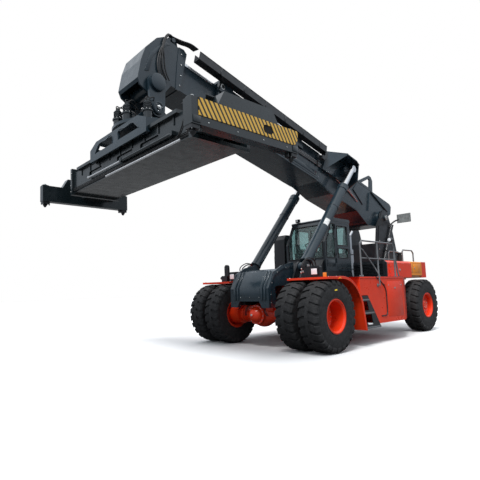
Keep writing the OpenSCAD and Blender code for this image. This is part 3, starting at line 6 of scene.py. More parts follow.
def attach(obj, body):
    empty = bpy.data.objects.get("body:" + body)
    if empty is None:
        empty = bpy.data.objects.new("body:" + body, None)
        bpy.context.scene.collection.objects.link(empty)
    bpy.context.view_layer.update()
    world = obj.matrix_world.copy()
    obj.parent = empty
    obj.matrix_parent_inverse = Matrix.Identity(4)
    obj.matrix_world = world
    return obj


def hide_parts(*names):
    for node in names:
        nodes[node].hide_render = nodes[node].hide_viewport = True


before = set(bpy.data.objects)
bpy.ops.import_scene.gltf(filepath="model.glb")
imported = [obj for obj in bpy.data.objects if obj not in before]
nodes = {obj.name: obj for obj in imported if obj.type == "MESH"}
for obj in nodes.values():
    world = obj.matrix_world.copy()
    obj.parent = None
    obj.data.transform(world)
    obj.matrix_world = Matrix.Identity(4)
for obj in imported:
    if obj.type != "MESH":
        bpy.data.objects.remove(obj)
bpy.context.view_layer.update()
scene = bpy.context.scene


# Camera, floor and light: a low viewpoint ahead of the left front wheel, a pale
# floor and soft light from the sky and a wide lamp.
def feed(tree, socket, value):
    """Links a node's output to the socket, or writes a number or a colour into it."""
    if hasattr(value, "is_linked"):
        tree.links.new(value, socket)
    elif hasattr(value, "__len__"):
        socket.default_value = (*value, 1)[:len(socket.default_value)]
    else:
        socket.default_value = value


def added(tree, kind, output, inputs=None, **settings):
    """Adds a shader node with its settings and inputs, and gives back the output named."""
    node = tree.nodes.new("ShaderNode" + kind)
    for key, value in settings.items():
        setattr(node, key, value)
    for key, value in (inputs or {}).items():
        feed(tree, node.inputs[key], value)
    return node.outputs[output]


def mixed(tree, factor, low, high):
    return added(tree, "Mix", "Result", {"Factor": factor, "A": low, "B": high}, data_type="RGBA")


camera_place = Vector((9.624, 7.290, 1.487))
yaw, pitch, roll = radians(231.499), radians(5.175), radians(-1.614)
forward = Vector((cos(yaw) * cos(pitch), sin(yaw) * cos(pitch), sin(pitch)))
level = Vector((sin(yaw), -cos(yaw), 0))
upward = level.cross(forward)
right = cos(roll) * level + sin(roll) * upward
top = -sin(roll) * level + cos(roll) * upward
bpy.ops.object.camera_add()
camera = bpy.context.object
camera.data.sensor_width = 36
camera.data.lens = 31.02
camera.data.shift_x = 0.1191
camera.data.shift_y = 0.0286
camera.data.clip_end = 400
camera.matrix_world = Matrix((
    (right.x, top.x, -forward.x, camera_place.x), (right.y, top.y, -forward.y, camera_place.y),
    (right.z, top.z, -forward.z, camera_place.z), (0, 0, 0, 1)))
scene.camera = camera
scene.view_settings.view_transform = "Standard"

scene.world = bpy.data.worlds.new("sky")
scene.world.use_nodes = True
sky = scene.world.node_tree
ramp = sky.nodes.new("ShaderNodeValToRGB")
feed(sky, ramp.inputs["Fac"], added(sky, "SeparateXYZ", "Z", {0: added(sky, "TexCoord", "Generated")}))
stops = ramp.color_ramp.elements
stops[0].color = (0.10, 0.11, 0.13, 1)
stops[1].color = (1.0, 1.0, 1.0, 1)
for height, colour in ((0.12, (0.34, 0.38, 0.43, 1)), (0.55, (0.86, 0.92, 1.0, 1))):
    stops.new(height).color = colour
sky_light = sky.nodes["Background"]
feed(sky, sky_light.inputs["Color"], ramp.outputs["Color"])
sky_seen = added(sky, "Background", 0, {"Color": (1, 1, 1)})
rays = sky.nodes.new("ShaderNodeLightPath").outputs
seen = added(sky, "Math", 0, {0: rays["Is Camera Ray"], 1: rays["Is Transmission Ray"]}, operation="MAXIMUM")
shown_sky = added(sky, "MixShader", 0, {0: seen, 1: sky_light.outputs[0], 2: sky_seen})
feed(sky, sky.nodes["World Output"].inputs["Surface"], shown_sky)

bpy.ops.object.light_add(type="SUN", rotation=(radians(36), 0, radians(112)))
sun = bpy.context.object
sun.data.energy = 2.6
sun.data.angle = radians(20)

bpy.ops.mesh.primitive_plane_add(size=160, location=(0, 0, -0.002))
floor = bpy.context.object
floor.name = "studio_floor"
floor_look = bpy.data.materials.new("studio_floor")
floor_look.use_nodes = True
floor_tree = floor_look.node_tree
floor_paint = floor_tree.nodes["Principled BSDF"].inputs
floor_paint["Roughness"].default_value = 0.85
floor_seen = added(floor_tree, "LightPath", "Is Camera Ray")
floor_tone = mixed(floor_tree, floor_seen, (0.13, 0.13, 0.13), (0.93, 0.93, 0.93))
feed(floor_tree, floor_paint["Base Color"], floor_tone)
floor.data.materials.append(floor_look)
bpy.ops.object.transform_apply(location=True)


# Enamel on the steel pieces: a two-coat paint with slight orange peel, uneven
# gloss, and dust that settles low on the machine and in patches.
def look(name, rough=0.4, metal=0.0):
    made = bpy.data.materials.new(name)
    made.use_nodes = True
    paint = made.node_tree.nodes["Principled BSDF"].inputs
    paint["Roughness"].default_value = rough
    paint["Metallic"].default_value = metal
    return made, made.node_tree, paint


def mapped(tree, value, low, high, to_low=0.0, to_high=1.0):
    return added(tree, "MapRange", "Result", {"Value": value, "From Min": low, "From Max": high,
                                              "To Min": to_low, "To Max": to_high})


def noise(tree, scale, detail=3.0, stretch=None):
    place = added(tree, "TexCoord", "Object")
    if stretch:
        place = added(tree, "Mapping", "Vector", {"Scale": stretch, "Vector": place})
    return added(tree, "TexNoise", "Fac", {"Scale": scale, "Detail": detail, "Vector": place})


def worked(tree, operation, one, two=0.5):
    return added(tree, "Math", 0, {0: one, 1: two}, operation=operation)


def bump(tree, paint, height, strength, distance):
    feed(tree, paint["Normal"], added(tree, "Bump", "Normal", {"Strength": strength, "Distance": distance,
                                                               "Height": height}))


dust = (0.30, 0.27, 0.23)


def enamel(name, colour, rough=0.33, dusty=0.25, coat=0.25):
    made, tree, paint = look(name, rough)
    tone = mapped(tree, noise(tree, 1.3, 4.0), 0.3, 0.7)
    body = mixed(tree, tone, [c * 0.86 for c in colour], [min(1, c * 1.10) for c in colour])
    streak = mapped(tree, noise(tree, 9.0, 6.0, (1, 1, 0.18)), 0.55, 0.8)
    height = added(tree, "SeparateXYZ", "Z", {0: added(tree, "TexCoord", "Object")})
    low = mapped(tree, height, 1.6, 0.2)
    settled = worked(tree, "MULTIPLY", worked(tree, "MULTIPLY", low, streak), dusty * 2)
    film = mapped(tree, noise(tree, 34.0, 5.0), 0.62, 0.78, 0.0, dusty)
    body = mixed(tree, film, body, [c * 0.6 + d * 0.4 for c, d in zip(colour, dust)])
    feed(tree, paint["Base Color"], mixed(tree, settled, body, dust))
    feed(tree, paint["Roughness"], mapped(tree, noise(tree, 6.0, 5.0), 0.3, 0.75, rough * 0.75, rough * 1.5))
    paint["Coat Weight"].default_value = coat
    paint["Coat Roughness"].default_value = 0.12
    bump(tree, paint, noise(tree, 95.0, 2.0), 0.12, 0.0015)
    return made


def dress(material, *names):
    for name in names:
        nodes[name].data.materials.clear()
        nodes[name].data.materials.append(material)


red_enamel = enamel("red_enamel", (0.86, 0.044, 0.007), 0.34, 0.02, 0.15)
blue_grey_enamel = enamel("blue_grey_enamel", (0.014, 0.029, 0.041), 0.28, 0.03, 0.35)
spreader_enamel = enamel("spreader_enamel", (0.007, 0.013, 0.016), 0.28, 0.03, 0.4)
frame_enamel = enamel("frame_enamel", (0.010, 0.012, 0.015), 0.36, 0.10)
dress(red_enamel, "drive_axle", "fenders", "side_bodies", "engine_hood", "counterweight",
      "rims_front_left", "rims_front_right", "rim_rear_left", "rim_rear_right")
dress(blue_grey_enamel, "nose_box", "boom_outer", "boom_inner", "boom_head", "lift_barrels",
      "head_link", "rotator", "carriage")
dress(spreader_enamel, "spreader_frame", "telescope_left", "telescope_right", "slew_motors")
dress(frame_enamel, "chassis_frame", "steer_axle", "knuckle_left", "knuckle_right", "boom_tower",
      "cab_base", "deck_plates", "steps", "hydraulic_cabinet", "hose_tray", "lamps", "side_mirror",
      "engine_block", "twistlocks_left", "twistlocks_right", "cab_seat", "steering_column",
      "air_intake")
orange_enamel = enamel("orange_enamel", (0.92, 0.30, 0.014), 0.36, 0.08)
dress(orange_enamel, "rear_boxes")
cab_enamel = enamel("cab_enamel", (0.018, 0.028, 0.036), 0.28, 0.05, 0.6)
dress(cab_enamel, "cab_frame", "cab_door_left", "cab_door_right")
rail_enamel = enamel("rail_enamel", (0.16, 0.17, 0.18), 0.42)
dress(rail_enamel, "handrails")


# Chromed rods and exhaust stack: bright metal with uneven gloss and faint draw
# marks in the surface.
def plated(name, colour, rough):
    made, tree, paint = look(name, rough, 1.0)
    paint["Base Color"].default_value = (*colour, 1)
    feed(tree, paint["Roughness"], mapped(tree, noise(tree, 30.0, 4.0), 0.3, 0.7, rough * 0.6, rough * 1.6))
    bump(tree, paint, noise(tree, 160.0, 2.0), 0.05, 0.0006)
    return made


dress(plated("chrome", (0.80, 0.81, 0.83), 0.14), "lift_rods", "exhaust_stack")


# Cab and door panes: tinted safety glass, slightly uneven in tone from place to
# place.
cab_pane, pane_tree, pane = look("cab_pane", 0.03)
pane["Transmission Weight"].default_value = 0.92
pane["IOR"].default_value = 1.45
pane_tone = mixed(pane_tree, noise(pane_tree, 2.0, 1.0), (0.42, 0.58, 0.58), (0.378, 0.522, 0.522))
feed(pane_tree, pane["Base Color"], pane_tone)
dress(cab_pane, "cab_glass", "door_glass_left", "door_glass_right")


# Tyres: a crowned casing of moulded rubber, two staggered rows of hooked lugs,
# a band between them and raised rings on the side walls.
def moulded(name, colour, rough=0.75):
    made, tree, paint = look(name, rough)
    tone = mapped(tree, noise(tree, 12.0, 5.0), 0.35, 0.7)
    feed(tree, paint["Base Color"], mixed(tree, tone, colour, [c * 1.7 + 0.006 for c in colour]))
    feed(tree, paint["Roughness"],
         mapped(tree, noise(tree, 20.0, 4.0), 0.3, 0.7, rough * 0.8, min(1, rough * 1.2)))
    bump(tree, paint, noise(tree, 130.0, 3.0), 0.25, 0.002)
    return made


tyre_rubber = moulded("tyre_rubber", (0.012, 0.012, 0.013))
shift = 1.15017
axle_height = 0.830
tread_radius = 0.792
lug_top = 0.825
lug_count = 24


def at(x, y, z):
    """A place measured from the drive axle's middle on the ground, in the part's frame."""
    return Vector((x + shift, y, z))


def pick(piece):
    bpy.ops.object.select_all(action="DESELECT")
    piece.select_set(True)
    bpy.context.view_layer.objects.active = piece


def settled_in(piece):
    pick(piece)
    bpy.ops.object.transform_apply(location=True, rotation=True, scale=True)
    return piece


def softened(piece, width, segments=2, angle=35):
    pick(piece)
    modifier = piece.modifiers.new("edge", "BEVEL")
    modifier.width = width
    modifier.segments = segments
    modifier.limit_method = "ANGLE"
    modifier.angle_limit = radians(angle)
    bpy.ops.object.modifier_apply(modifier=modifier.name)
    return piece


def edited(step=None):
    """Works on the whole active mesh with the step given, and turns its faces outwards."""
    bpy.ops.object.mode_set(mode="EDIT")
    bpy.ops.mesh.select_all(action="SELECT")
    if step:
        step()
        bpy.ops.mesh.select_all(action="SELECT")
    bpy.ops.mesh.normals_make_consistent(inside=False)
    bpy.ops.object.mode_set(mode="OBJECT")


def drawn(places, fill_type="NGON"):
    """A flat ring of edges through the places."""
    bpy.ops.object.select_all(action="DESELECT")
    bpy.ops.mesh.primitive_circle_add(vertices=len(places), fill_type=fill_type)
    for vertex, place in zip(bpy.context.object.data.vertices, places):
        vertex.co = place
    return bpy.context.object


def pulled(places, pull):
    """A solid: the flat outline through the places, pulled out by a distance."""
    piece = drawn(places)
    edited(lambda: bpy.ops.mesh.extrude_region_move(TRANSFORM_OT_translate={"value": pull}))
    return piece


def outline(points, start, end, across="Y"):
    """A flat outline drawn in the two other directions, pulled out from start to end."""
    def place(a, b, c):
        return {"X": (c, a, b), "Y": (a, c, b), "Z": (a, b, c)}[across]
    return pulled([place(a, b, start) for a, b in points], place(0, 0, end - start))


def turned(profile, centre, axis, steps=64):
    """A profile of radius and height, spun about an axis through the centre."""
    axis = Vector(axis).normalized()
    side = axis.orthogonal().normalized()
    piece = drawn([Vector(centre) + side * radius + axis * height for radius, height in profile], "NOTHING")

    def spun():
        bpy.ops.mesh.spin(steps=steps, angle=2 * pi, center=tuple(centre), axis=tuple(axis))
        bpy.ops.mesh.select_all(action="SELECT")
        bpy.ops.mesh.remove_doubles(threshold=0.00002)
    edited(spun)
    return piece


def moved(piece, matrix):
    """A copy of the piece, with its own mesh, moved by the matrix."""
    copy = piece.copy()
    copy.data = piece.data.copy()
    copy.data.transform(matrix)
    scene.collection.objects.link(copy)
    return copy


def joined(pieces):
    bpy.ops.object.select_all(action="DESELECT")
    for piece in pieces:
        piece.select_set(True)
    bpy.context.view_layer.objects.active = pieces[0]
    bpy.ops.object.join()
    return bpy.context.object


def ring_of(piece, count, centre, axis, start=0.0):
    """Copies of the piece in a ring about the axis, joined; the piece itself goes."""
    made = []
    for k in range(count):
        turn = Matrix.Rotation(start + 2 * pi * k / count, 4, Vector(axis))
        made.append(moved(piece, Matrix.Translation(centre) @ turn @ Matrix.Translation(-Vector(centre))))
    bpy.data.objects.remove(piece)
    return joined(made)


def finished(pieces, name, body, slot, material, angle=35):
    """Joins the pieces into one that rides its body, with its name and material; the slot is not used."""
    piece = joined(pieces) if isinstance(pieces, list) else pieces
    piece.name = name
    piece.data.name = name
    piece.data.materials.clear()
    piece.data.materials.append(material)
    pick(piece)
    bpy.ops.object.shade_smooth_by_angle(angle=radians(angle))
    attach(piece, body)
    return piece


def casing(centre):
    half = 0.25
    side = [(0.36, -half + 0.06), (0.375, -half + 0.018), (0.44, -half + 0.001), (0.52, -half - 0.006),
            (0.60, -half - 0.006), (0.68, -half + 0.002), (0.74, -half + 0.012), (0.775, -half + 0.045),
            (tread_radius, -half + 0.10)]
    profile = side + [(tread_radius + 0.004, 0)] + [(r, -y) for r, y in reversed(side)]
    return turned(profile, centre, (0, 1, 0), 96)


def lug_row(centre, side, start):
    # broad blocks with a narrow hooked groove between them, wrapped over the shoulder
    section = [(0.035, 0.78), (0.035, lug_top), (0.10, lug_top), (0.16, lug_top - 0.003), (0.212, 0.814),
               (0.246, 0.776), (0.254, 0.735), (0.252, 0.700), (0.240, 0.69)]
    lug = outline([(y * side, z) for y, z in section], -0.076, 0.076, "X")
    for vertex in lug.data.vertices:
        out = abs(vertex.co.y)
        kink = 0.0 if out < 0.09 else min(1, (out - 0.09) / 0.12)
        vertex.co.x = vertex.co.x * (1.0 if vertex.co.z > 0.8 else 0.8) + 0.055 * kink - 0.02
    pick(lug)
    edited()
    lug = softened(lug, 0.006, 1, 40)
    lug.data.transform(Matrix.Translation(centre))
    return ring_of(lug, lug_count, centre, (0, 1, 0), start)


def middle_band(centre):
    return turned([(0.78, -0.05), (lug_top - 0.004, -0.045), (lug_top, -0.036), (lug_top, 0.036),
                   (lug_top - 0.004, 0.045), (0.78, 0.05)], centre, (0, 1, 0), 96)


def sidewall_rings(centre, side):
    rings = [turned([(r - 0.010, side * w), (r - 0.004, side * (w + 0.006)), (r + 0.004, side * (w + 0.006)),
                     (r + 0.010, side * w)], centre, (0, 1, 0), 96)
             for r, w in ((0.412, 0.244), (0.655, 0.246))]
    return joined(rings)


def tyre(centres, name, body, node):
    pieces = []
    for centre in centres:
        pieces += [casing(centre), middle_band(centre), lug_row(centre, 1, 0.0),
                   lug_row(centre, -1, pi / lug_count), sidewall_rings(centre, 1), sidewall_rings(centre, -1)]
    piece = finished(pieces, name, body, "tyre", tyre_rubber, 28)
    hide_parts(node)


for side, word in ((1, "left"), (-1, "right")):
    tyre([at(0, side * y, axle_height) for y in (1.22, 1.86)], "treaded_tyres_front_" + word,
         "front_wheels_" + word, "tyres_front_" + word)
    tyre([at(-6.0, side * 1.43, axle_height)], "treaded_tyre_rear_" + word,
         "rear_wheel_" + word, "tyre_rear_" + word)


# Wheel nuts and hub caps: zinc-plated nuts on studs round each hub, and the
# small plugs and screws of the hub's cap.
zinc = plated("zinc", (0.62, 0.63, 0.62), 0.32)


def nut(place, axis, width, height):
    """A nut on the place and the end of its stud, along the axis."""
    axis = Vector(axis)
    turn = axis.to_track_quat("Z", "Y").to_euler()
    parts = []
    for sides, radius, reach, edge in ((6, 0.5, 0.5, 0.06), (10, 0.27, 1, 0.05)):
        bpy.ops.object.select_all(action="DESELECT")
        bpy.ops.mesh.primitive_cylinder_add(vertices=sides, radius=width * radius, depth=height,
                                            location=Vector(place) + axis * height * reach, rotation=turn)
        parts.append(softened(settled_in(bpy.context.object), width * edge, 1))
    return joined(parts)


def nuts_round(centre, axis, radius, count, width, height):
    centre, axis = Vector(centre), Vector(axis)
    out = axis.orthogonal().normalized()
    return ring_of(nut(centre + out * radius, axis, width, height), count, centre, axis)


front_rings = ((1.729, 0.288, 24, 0.034, 0.030), (1.824, 0.185, 10, 0.022, 0.012),
               (1.824, 0.02, 2, 0.03, 0.010))
rear_rings = ((1.509, 0.20, 20, 0.032, 0.030), (1.599, 0.085, 8, 0.02, 0.012))
for side, word in ((1, "left"), (-1, "right")):
    for end, body, x, rings in (("front_", "front_wheels_", 0, front_rings),
                                ("rear_", "rear_wheel_", -6.0, rear_rings)):
        nuts = [nuts_round(at(x, side * y, axle_height), (0, side, 0), *ring) for y, *ring in rings]
        finished(nuts, "wheel_nuts_" + end + word, body + word, "chrome", zinc)


# Drive axle: cover screws, flange bolts and the filler plug, plated steel in the
# red housing, and the brake lines, black rubber hoses along its arms.
def hose(points, radius, smooth=5, side=1, place=at):
    """A round hose or pipe that bends smoothly through the points, measured as place does."""
    bpy.ops.object.select_all(action="DESELECT")
    bpy.ops.curve.primitive_bezier_curve_add()
    line = bpy.context.object
    spline = line.data.splines[0]
    spline.bezier_points.add(len(points) - 2)
    for knot, (x, y, z) in zip(spline.bezier_points, points):
        knot.co = place(x, side * y, z)
        knot.handle_left_type = knot.handle_right_type = "AUTO"
    line.data.dimensions = "3D"
    line.data.bevel_depth = radius
    line.data.bevel_resolution = 2
    line.data.resolution_u = smooth
    line.data.use_fill_caps = True
    bpy.ops.object.convert(target="MESH")
    return settled_in(bpy.context.object)


def box(low, high, edge=0.004, segments=2, side=1, place=at):
    """A box between two corners with its edges rounded."""
    low, high = (place(x, side * y, z) for x, y, z in (low, high))
    bpy.ops.object.select_all(action="DESELECT")
    bpy.ops.mesh.primitive_cube_add(size=1, location=(low + high) / 2, scale=[abs(c) for c in high - low])
    return softened(settled_in(bpy.context.object), edge, segments)


def drum(place, axis, radius, length, edge=0.12, steps=32):
    """A round boss or disc with chamfered edges, which starts at the place."""
    cut = min(radius, length) * edge
    return turned([(0, 0), (radius - cut, 0), (radius, cut), (radius, length - cut),
                   (radius - cut, length), (0, length)], place, axis, steps)


rubber = moulded("rubber", (0.012, 0.012, 0.013), 0.55)
cover = [nuts_round(at(0.312, 0, axle_height), (1, 0, 0), 0.232, 14, 0.026, 0.012),
         drum(at(0.485, 0, axle_height), (1, 0, 0), 0.030, 0.022)]
lines = []
for side in (1, -1):
    for y, *ring in ((0.592, 0.190, 16, 0.026, 0.014), (0.958, 0.225, 18, 0.024, 0.014)):
        cover.append(nuts_round(at(0, side * y, axle_height), (0, side, 0), *ring))
    lines.append(hose([(0.10, 0.62, 1.08), (0.20, 0.60, 1.06), (0.235, 0.66, 0.98), (0.20, 0.80, 0.93),
                       (0.17, 0.95, 0.93)], 0.011, 5, side))
    for y in (0.27, 0.31):
        lines.append(hose([(0.20, y, 1.10), (0.29, y, 1.04), (0.335, y + 0.03, 0.93), (0.30, y + 0.08, 0.80)],
                          0.010, 5, side))
finished(cover, "axle_bolts", "chassis", "chrome", zinc)
finished(lines, "axle_lines", "chassis", "black_paint", rubber)


# Nose: raised folds of sheet steel over the ribs, bolted on, with the
# panel between them standing a little proud.
slope_top, slope_foot, nose_face, nose_side = (0.318, 1.924), (0.5605, 1.502), 0.5605, 0.656


def cut_plate(points, start, end, edge, segments=2):
    """A plate of the side outline given, between two distances across the machine."""
    return softened(outline([(x + shift, z) for x, z in points], start, end), edge, segments)


def nose_sheet(start, end, proud, low, edge):
    lean = Vector((0.87, 0, 0.5)) * proud
    section = [(slope_top[0] - 0.01, slope_top[1] - 0.02),
               (slope_top[0] + lean.x, slope_top[1] + lean.z - 0.01),
               (slope_foot[0] + proud, slope_foot[1] + lean.z), (nose_face + proud, low),
               (nose_face - 0.02, low), (nose_face - 0.02, slope_foot[1] - 0.03)]
    return cut_plate(section, start, end, edge, 3)


folds = [nose_sheet(y0 - 0.004, y1 + 0.004, 0.027, 1.20, 0.011)
         for y0, y1 in ((-0.51, -0.45), (-0.39, -0.35), (0.41, 0.46), (0.52, 0.56))]
folds.append(nose_sheet(-0.31, 0.375, 0.006, 1.24, 0.005))
screws = []
for y in (-0.28, 0.03, 0.345):
    screws += [nut(at(0.30, y, 1.935), (0.5, 0, 0.87), 0.022, 0.008),
               nut(at(nose_face + 0.006, y, 1.28), (1, 0, 0), 0.022, 0.008)]
for side in (1, -1):
    folds.append(cut_plate([(-0.44, 2.10), (-0.02, 2.045), (0.345, 1.872), (0.52, 1.512), (0.52, 1.06),
                            (0.44, 1.06), (0.44, 1.49), (0.29, 1.80), (-0.04, 1.96), (-0.44, 2.01)],
                           side * (nose_side - 0.006), side * nose_side, 0.003))
    screws += [nut(at(x, side * nose_side, z), (0, side, 0), 0.024, 0.010)
               for x, z in ((0.485, 1.15), (0.485, 1.35), (0.42, 1.63), (0.20, 1.90), (-0.15, 2.02))]
finished(folds, "nose_folds", "chassis", "steel_paint", blue_grey_enamel)
finished(screws, "nose_screws", "chassis", "chrome", zinc)


# Lift cylinder feet: pin keepers, fittings and the hoses that feed the barrels,
# on the brackets behind the nose.
foot_x, foot_z = -0.600, 2.030
feet, feet_hoses = [], []
for side in (1, -1):
    out = (0, side, 0)
    feet.append(drum(at(foot_x, side * 1.006, foot_z), out, 0.060, 0.016))
    feet.append(nuts_round(at(foot_x, side * 1.020, foot_z), out, 0.036, 3, 0.018, 0.008))
    feet.append(nuts_round(at(foot_x, side * 0.9395, foot_z), out, 0.09, 6, 0.018, 0.005))
    for x, z in ((-0.36, 1.86), (-0.30, 1.93), (-0.28, 1.84)):
        feet.append(drum(at(x, side * 1.02, z), (0.4, 0.2 * side, 1), 0.020, 0.055, 0.25, 20))
    feet_hoses.append(hose([(-0.36, 1.02, 1.90), (-0.33, 1.05, 2.02), (-0.45, 1.03, 2.16), (-0.66, 1.02, 2.20),
                            (-0.80, 1.01, 2.10), (-0.84, 0.99, 1.78)], 0.017, 5, side))
    feet_hoses.append(hose([(-0.30, 1.02, 1.96), (-0.26, 1.06, 2.05), (-0.42, 1.07, 2.20), (-0.68, 1.06, 2.24),
                            (-0.88, 1.04, 2.12), (-0.90, 1.01, 1.78)], 0.014, 5, side))
finished(feet, "foot_fittings", "chassis", "chrome", zinc)
finished(feet_hoses, "foot_hoses", "chassis", "black_paint", rubber)


# Fender trim: a rolled bead along the outer edge, an amber marker under it near
# the front, and the bolts that hold the fender.
fender_side, middle_x, middle_z, fender_turn = 2.110, -0.33, 0.85, 0.87
bend = [radians(90 + 82 * k / 12) for k in range(13)]
path = [(0.26, 1.715), (-0.05, 1.716)]
path += [(middle_x + fender_turn * cos(a), middle_z + fender_turn * sin(a)) for a in bend]
path += [(-1.24, 0.70), (-1.285, 0.43)]
beads, markers, bolts = [], [], []
amber = moulded("amber", (0.80, 0.22, 0.01), 0.25)
for side in (1, -1):
    beads.append(hose([(x, fender_side - 0.006, z) for x, z in path], 0.010, 3, side))
    markers.append(cut_plate([(-0.27, 1.672), (-0.13, 1.672), (-0.20, 1.712)], side * fender_side,
                             side * (fender_side + 0.012), 0.004))
    bolts += [nut(at(x, side * y, 1.72), (0, 0, 1), 0.028, 0.012)
              for x in (0.18, -0.15, -0.30) for y in (1.02, 2.06)]
finished(beads, "fender_beads", "chassis", "red_paint", red_enamel)
finished(markers, "fender_markers", "chassis", "lamp_plastic", amber)
finished(bolts, "fender_bolts", "chassis", "chrome", zinc)


# Side bodies: a rubber moulding round the locker's edge, a folded flange along
# the top, a raised panel with plugs and a small pull, and a filler cap on deck.
body_side, deck_height = 1.960, 1.720
mouldings, flanges, fittings = [], [], []
for side in (1, -1):
    mouldings.append(hose([(x, body_side + 0.008, z) for x, z in (
        (-2.145, 1.712), (-2.30, 1.66), (-2.46, 1.555), (-2.58, 1.46), (-2.645, 1.33), (-2.655, 1.10),
        (-2.655, 0.84), (-2.63, 0.74), (-2.56, 0.705), (-2.45, 0.705), (-2.33, 0.705))], 0.015, 4, side))
    flanges.append(box((-3.69, body_side - 0.002, 1.688), (-1.345, body_side + 0.012, 1.716), 0.004, 2, side))
    flanges.append(box((-3.60, body_side - 0.001, 0.66), (-2.75, body_side + 0.005, 1.60), 0.002, 2, side))
    for x in (-3.56, -2.80):
        fittings.append(drum(at(x, side * (body_side + 0.005), 1.50), (0, side, 0), 0.018, 0.008))
    fittings.append(box((-3.20, body_side + 0.004, 1.40), (-3.12, body_side + 0.014, 1.44), 0.003, 2, side))
    fittings.append(drum(at(-1.70, side * 1.82, deck_height + 0.010), (0, 0, 1), 0.055, 0.04))
finished(mouldings, "locker_mouldings", "chassis", "black_paint", rubber)
finished(flanges, "body_flanges", "chassis", "red_paint", red_enamel)
finished(fittings, "body_fittings", "chassis", "chrome", zinc)


# Boarding steps: rows of round gripping studs on each tread, and a strip along
# its outer side, in the rails' grey enamel.
stud_pitch, tread_front = 0.045, -1.345
treads = []
for side in (1, -1):
    for step, height in ((0.86, 0.470), (0.61, 0.830), (0.40, 1.160)):
        tread_back = -1.32 - step
        treads.append(box((tread_back, 1.975, height - 0.034), (tread_front, 1.984, height + 0.002),
                          0.003, 2, side))
        stud = drum(at(tread_back + 0.03, side * 1.70, height), (0, 0, 1), 0.012, 0.006, 0.2, 10)
        treads += [moved(stud, Matrix.Translation((stud_pitch * i, side * 0.055 * j, 0)))
                   for i in range(int((tread_front - tread_back) / stud_pitch)) for j in range(5)]
        bpy.data.objects.remove(stud)
finished(treads, "step_treads", "chassis", "rail_paint", rail_enamel)


# Handrail feet: round flanges on the deck, each with four nuts, plain flanges at
# the rear, and one round clamp on the left body's side.
feet = [drum(at(-2.23, 1.962, 1.50), (0, 1, 0), 0.045, 0.010)]
for x, y in ((-1.57, 1.90), (-2.45, 1.90), (-3.40, 1.90), (-2.90, -1.90), (-3.40, -1.90)):
    feet.append(drum(at(x, y, 1.7285), (0, 0, 1), 0.055, 0.010))
    feet.append(nuts_round(at(x, y, 1.738), (0, 0, 1), 0.040, 4, 0.014, 0.006))
feet += [drum(at(x, y, 2.2505), (0, 0, 1), 0.050, 0.010)
         for x in (-5.65, -6.45) for y in (0.70, 1.15, -0.70, -1.15)]
finished(feet, "rail_feet", "chassis", "rail_paint", rail_enamel)


# Outer boom: pipes in clamps and raised panels along the sides, weld beads along
# the corners, the collar's adjusting screws, pin caps, and a boss with a white ring.
boom_pivot, boom_turn = Vector((-5.750 + shift, 0, 3.800)), radians(14)
along_boom = Vector((cos(boom_turn), 0, sin(boom_turn)))
above_boom = Vector((-sin(boom_turn), 0, cos(boom_turn)))


def on_boom(u, y, w):
    """A place on the boom: u along it from the pivot, w above the pivot line."""
    return boom_pivot + along_boom * u + above_boom * w + Vector((0, y, 0))


boom_tilt = Matrix.Translation(boom_pivot) @ Matrix.Rotation(-boom_turn, 4, "Y")
boom_side, boom_upper, boom_lower, boom_end = 0.450, 0.770, -0.100, 7.950


def boom_box(low, high, edge=0.004, segments=2, side=1):
    piece = box(low, high, edge, segments, side, lambda *place: Vector(place))
    piece.data.transform(boom_tilt)
    return piece


side_pipes, clamps, beads = [], [], []
for side in (1, -1):
    y = boom_side + 0.030
    for row in range(3):
        w = 0.36 + 0.045 * row
        side_pipes.append(hose([(1.55 + 0.1 * row, y, w - 0.30), (2.3, y, w - 0.12), (3.5, y, w - 0.01),
                                (5.2, y, w), (7.66, y, w)], 0.014, 4, side, on_boom))
    for u in (3.85, 5.55, 6.75, 7.45):
        clamps.append(boom_box((u, boom_side - 0.002, 0.33), (u + 0.05, boom_side + 0.050, 0.48),
                               0.005, 2, side))
    for radius, path in ((0.007, ((0.6, boom_upper - 0.02), (2.0, boom_upper - 0.02))),
                         (0.006, ((3.72, boom_lower + 0.08), (7.70, boom_lower + 0.08))),
                         (0.006, ((1.52, -0.21), (2.98, -0.20), (3.68, -0.075)))):
        beads.append(hose([(u, boom_side + 0.001, w) for u, w in path], radius, 2, side, on_boom))
    for low_u, high_u in ((3.82, 5.40), (5.80, 7.40)):
        beads.append(boom_box((low_u, boom_side - 0.001, 0.04), (high_u, boom_side + 0.008, 0.16),
                              0.003, 2, side))
finished(side_pipes, "boom_pipes", "outer_boom", "chrome", plated("pipe_zinc", (0.42, 0.43, 0.44), 0.35))
finished(clamps, "boom_clamps", "outer_boom", "black_paint", rubber)
finished(beads, "boom_beads", "outer_boom", "steel_paint", blue_grey_enamel)

screw_u, boss_u = boom_end - 0.120, boom_end - 0.075
collar = []
for side in (1, -1):
    out = (0, side, 0)
    for w in (-0.02, 0.10, 0.52, 0.64):
        collar.append(nut(on_boom(screw_u, side * (boom_side + 0.040), w), out, 0.045, 0.022))
    collar.append(drum(on_boom(boss_u, side * (boom_side + 0.040), 0.31), out, 0.070, 0.020))
    collar.append(nuts_round(on_boom(boss_u, side * (boom_side + 0.058), 0.31), out, 0.048, 6, 0.014, 0.006))
    for y in (0.12, 0.30):
        for w, up in ((boom_upper + 0.040, 1), (boom_lower - 0.040, -1)):
            collar.append(nut(on_boom(screw_u, side * y, w), above_boom * up, 0.045, 0.022))
finished(collar, "collar_screws", "outer_boom", "chrome", zinc)

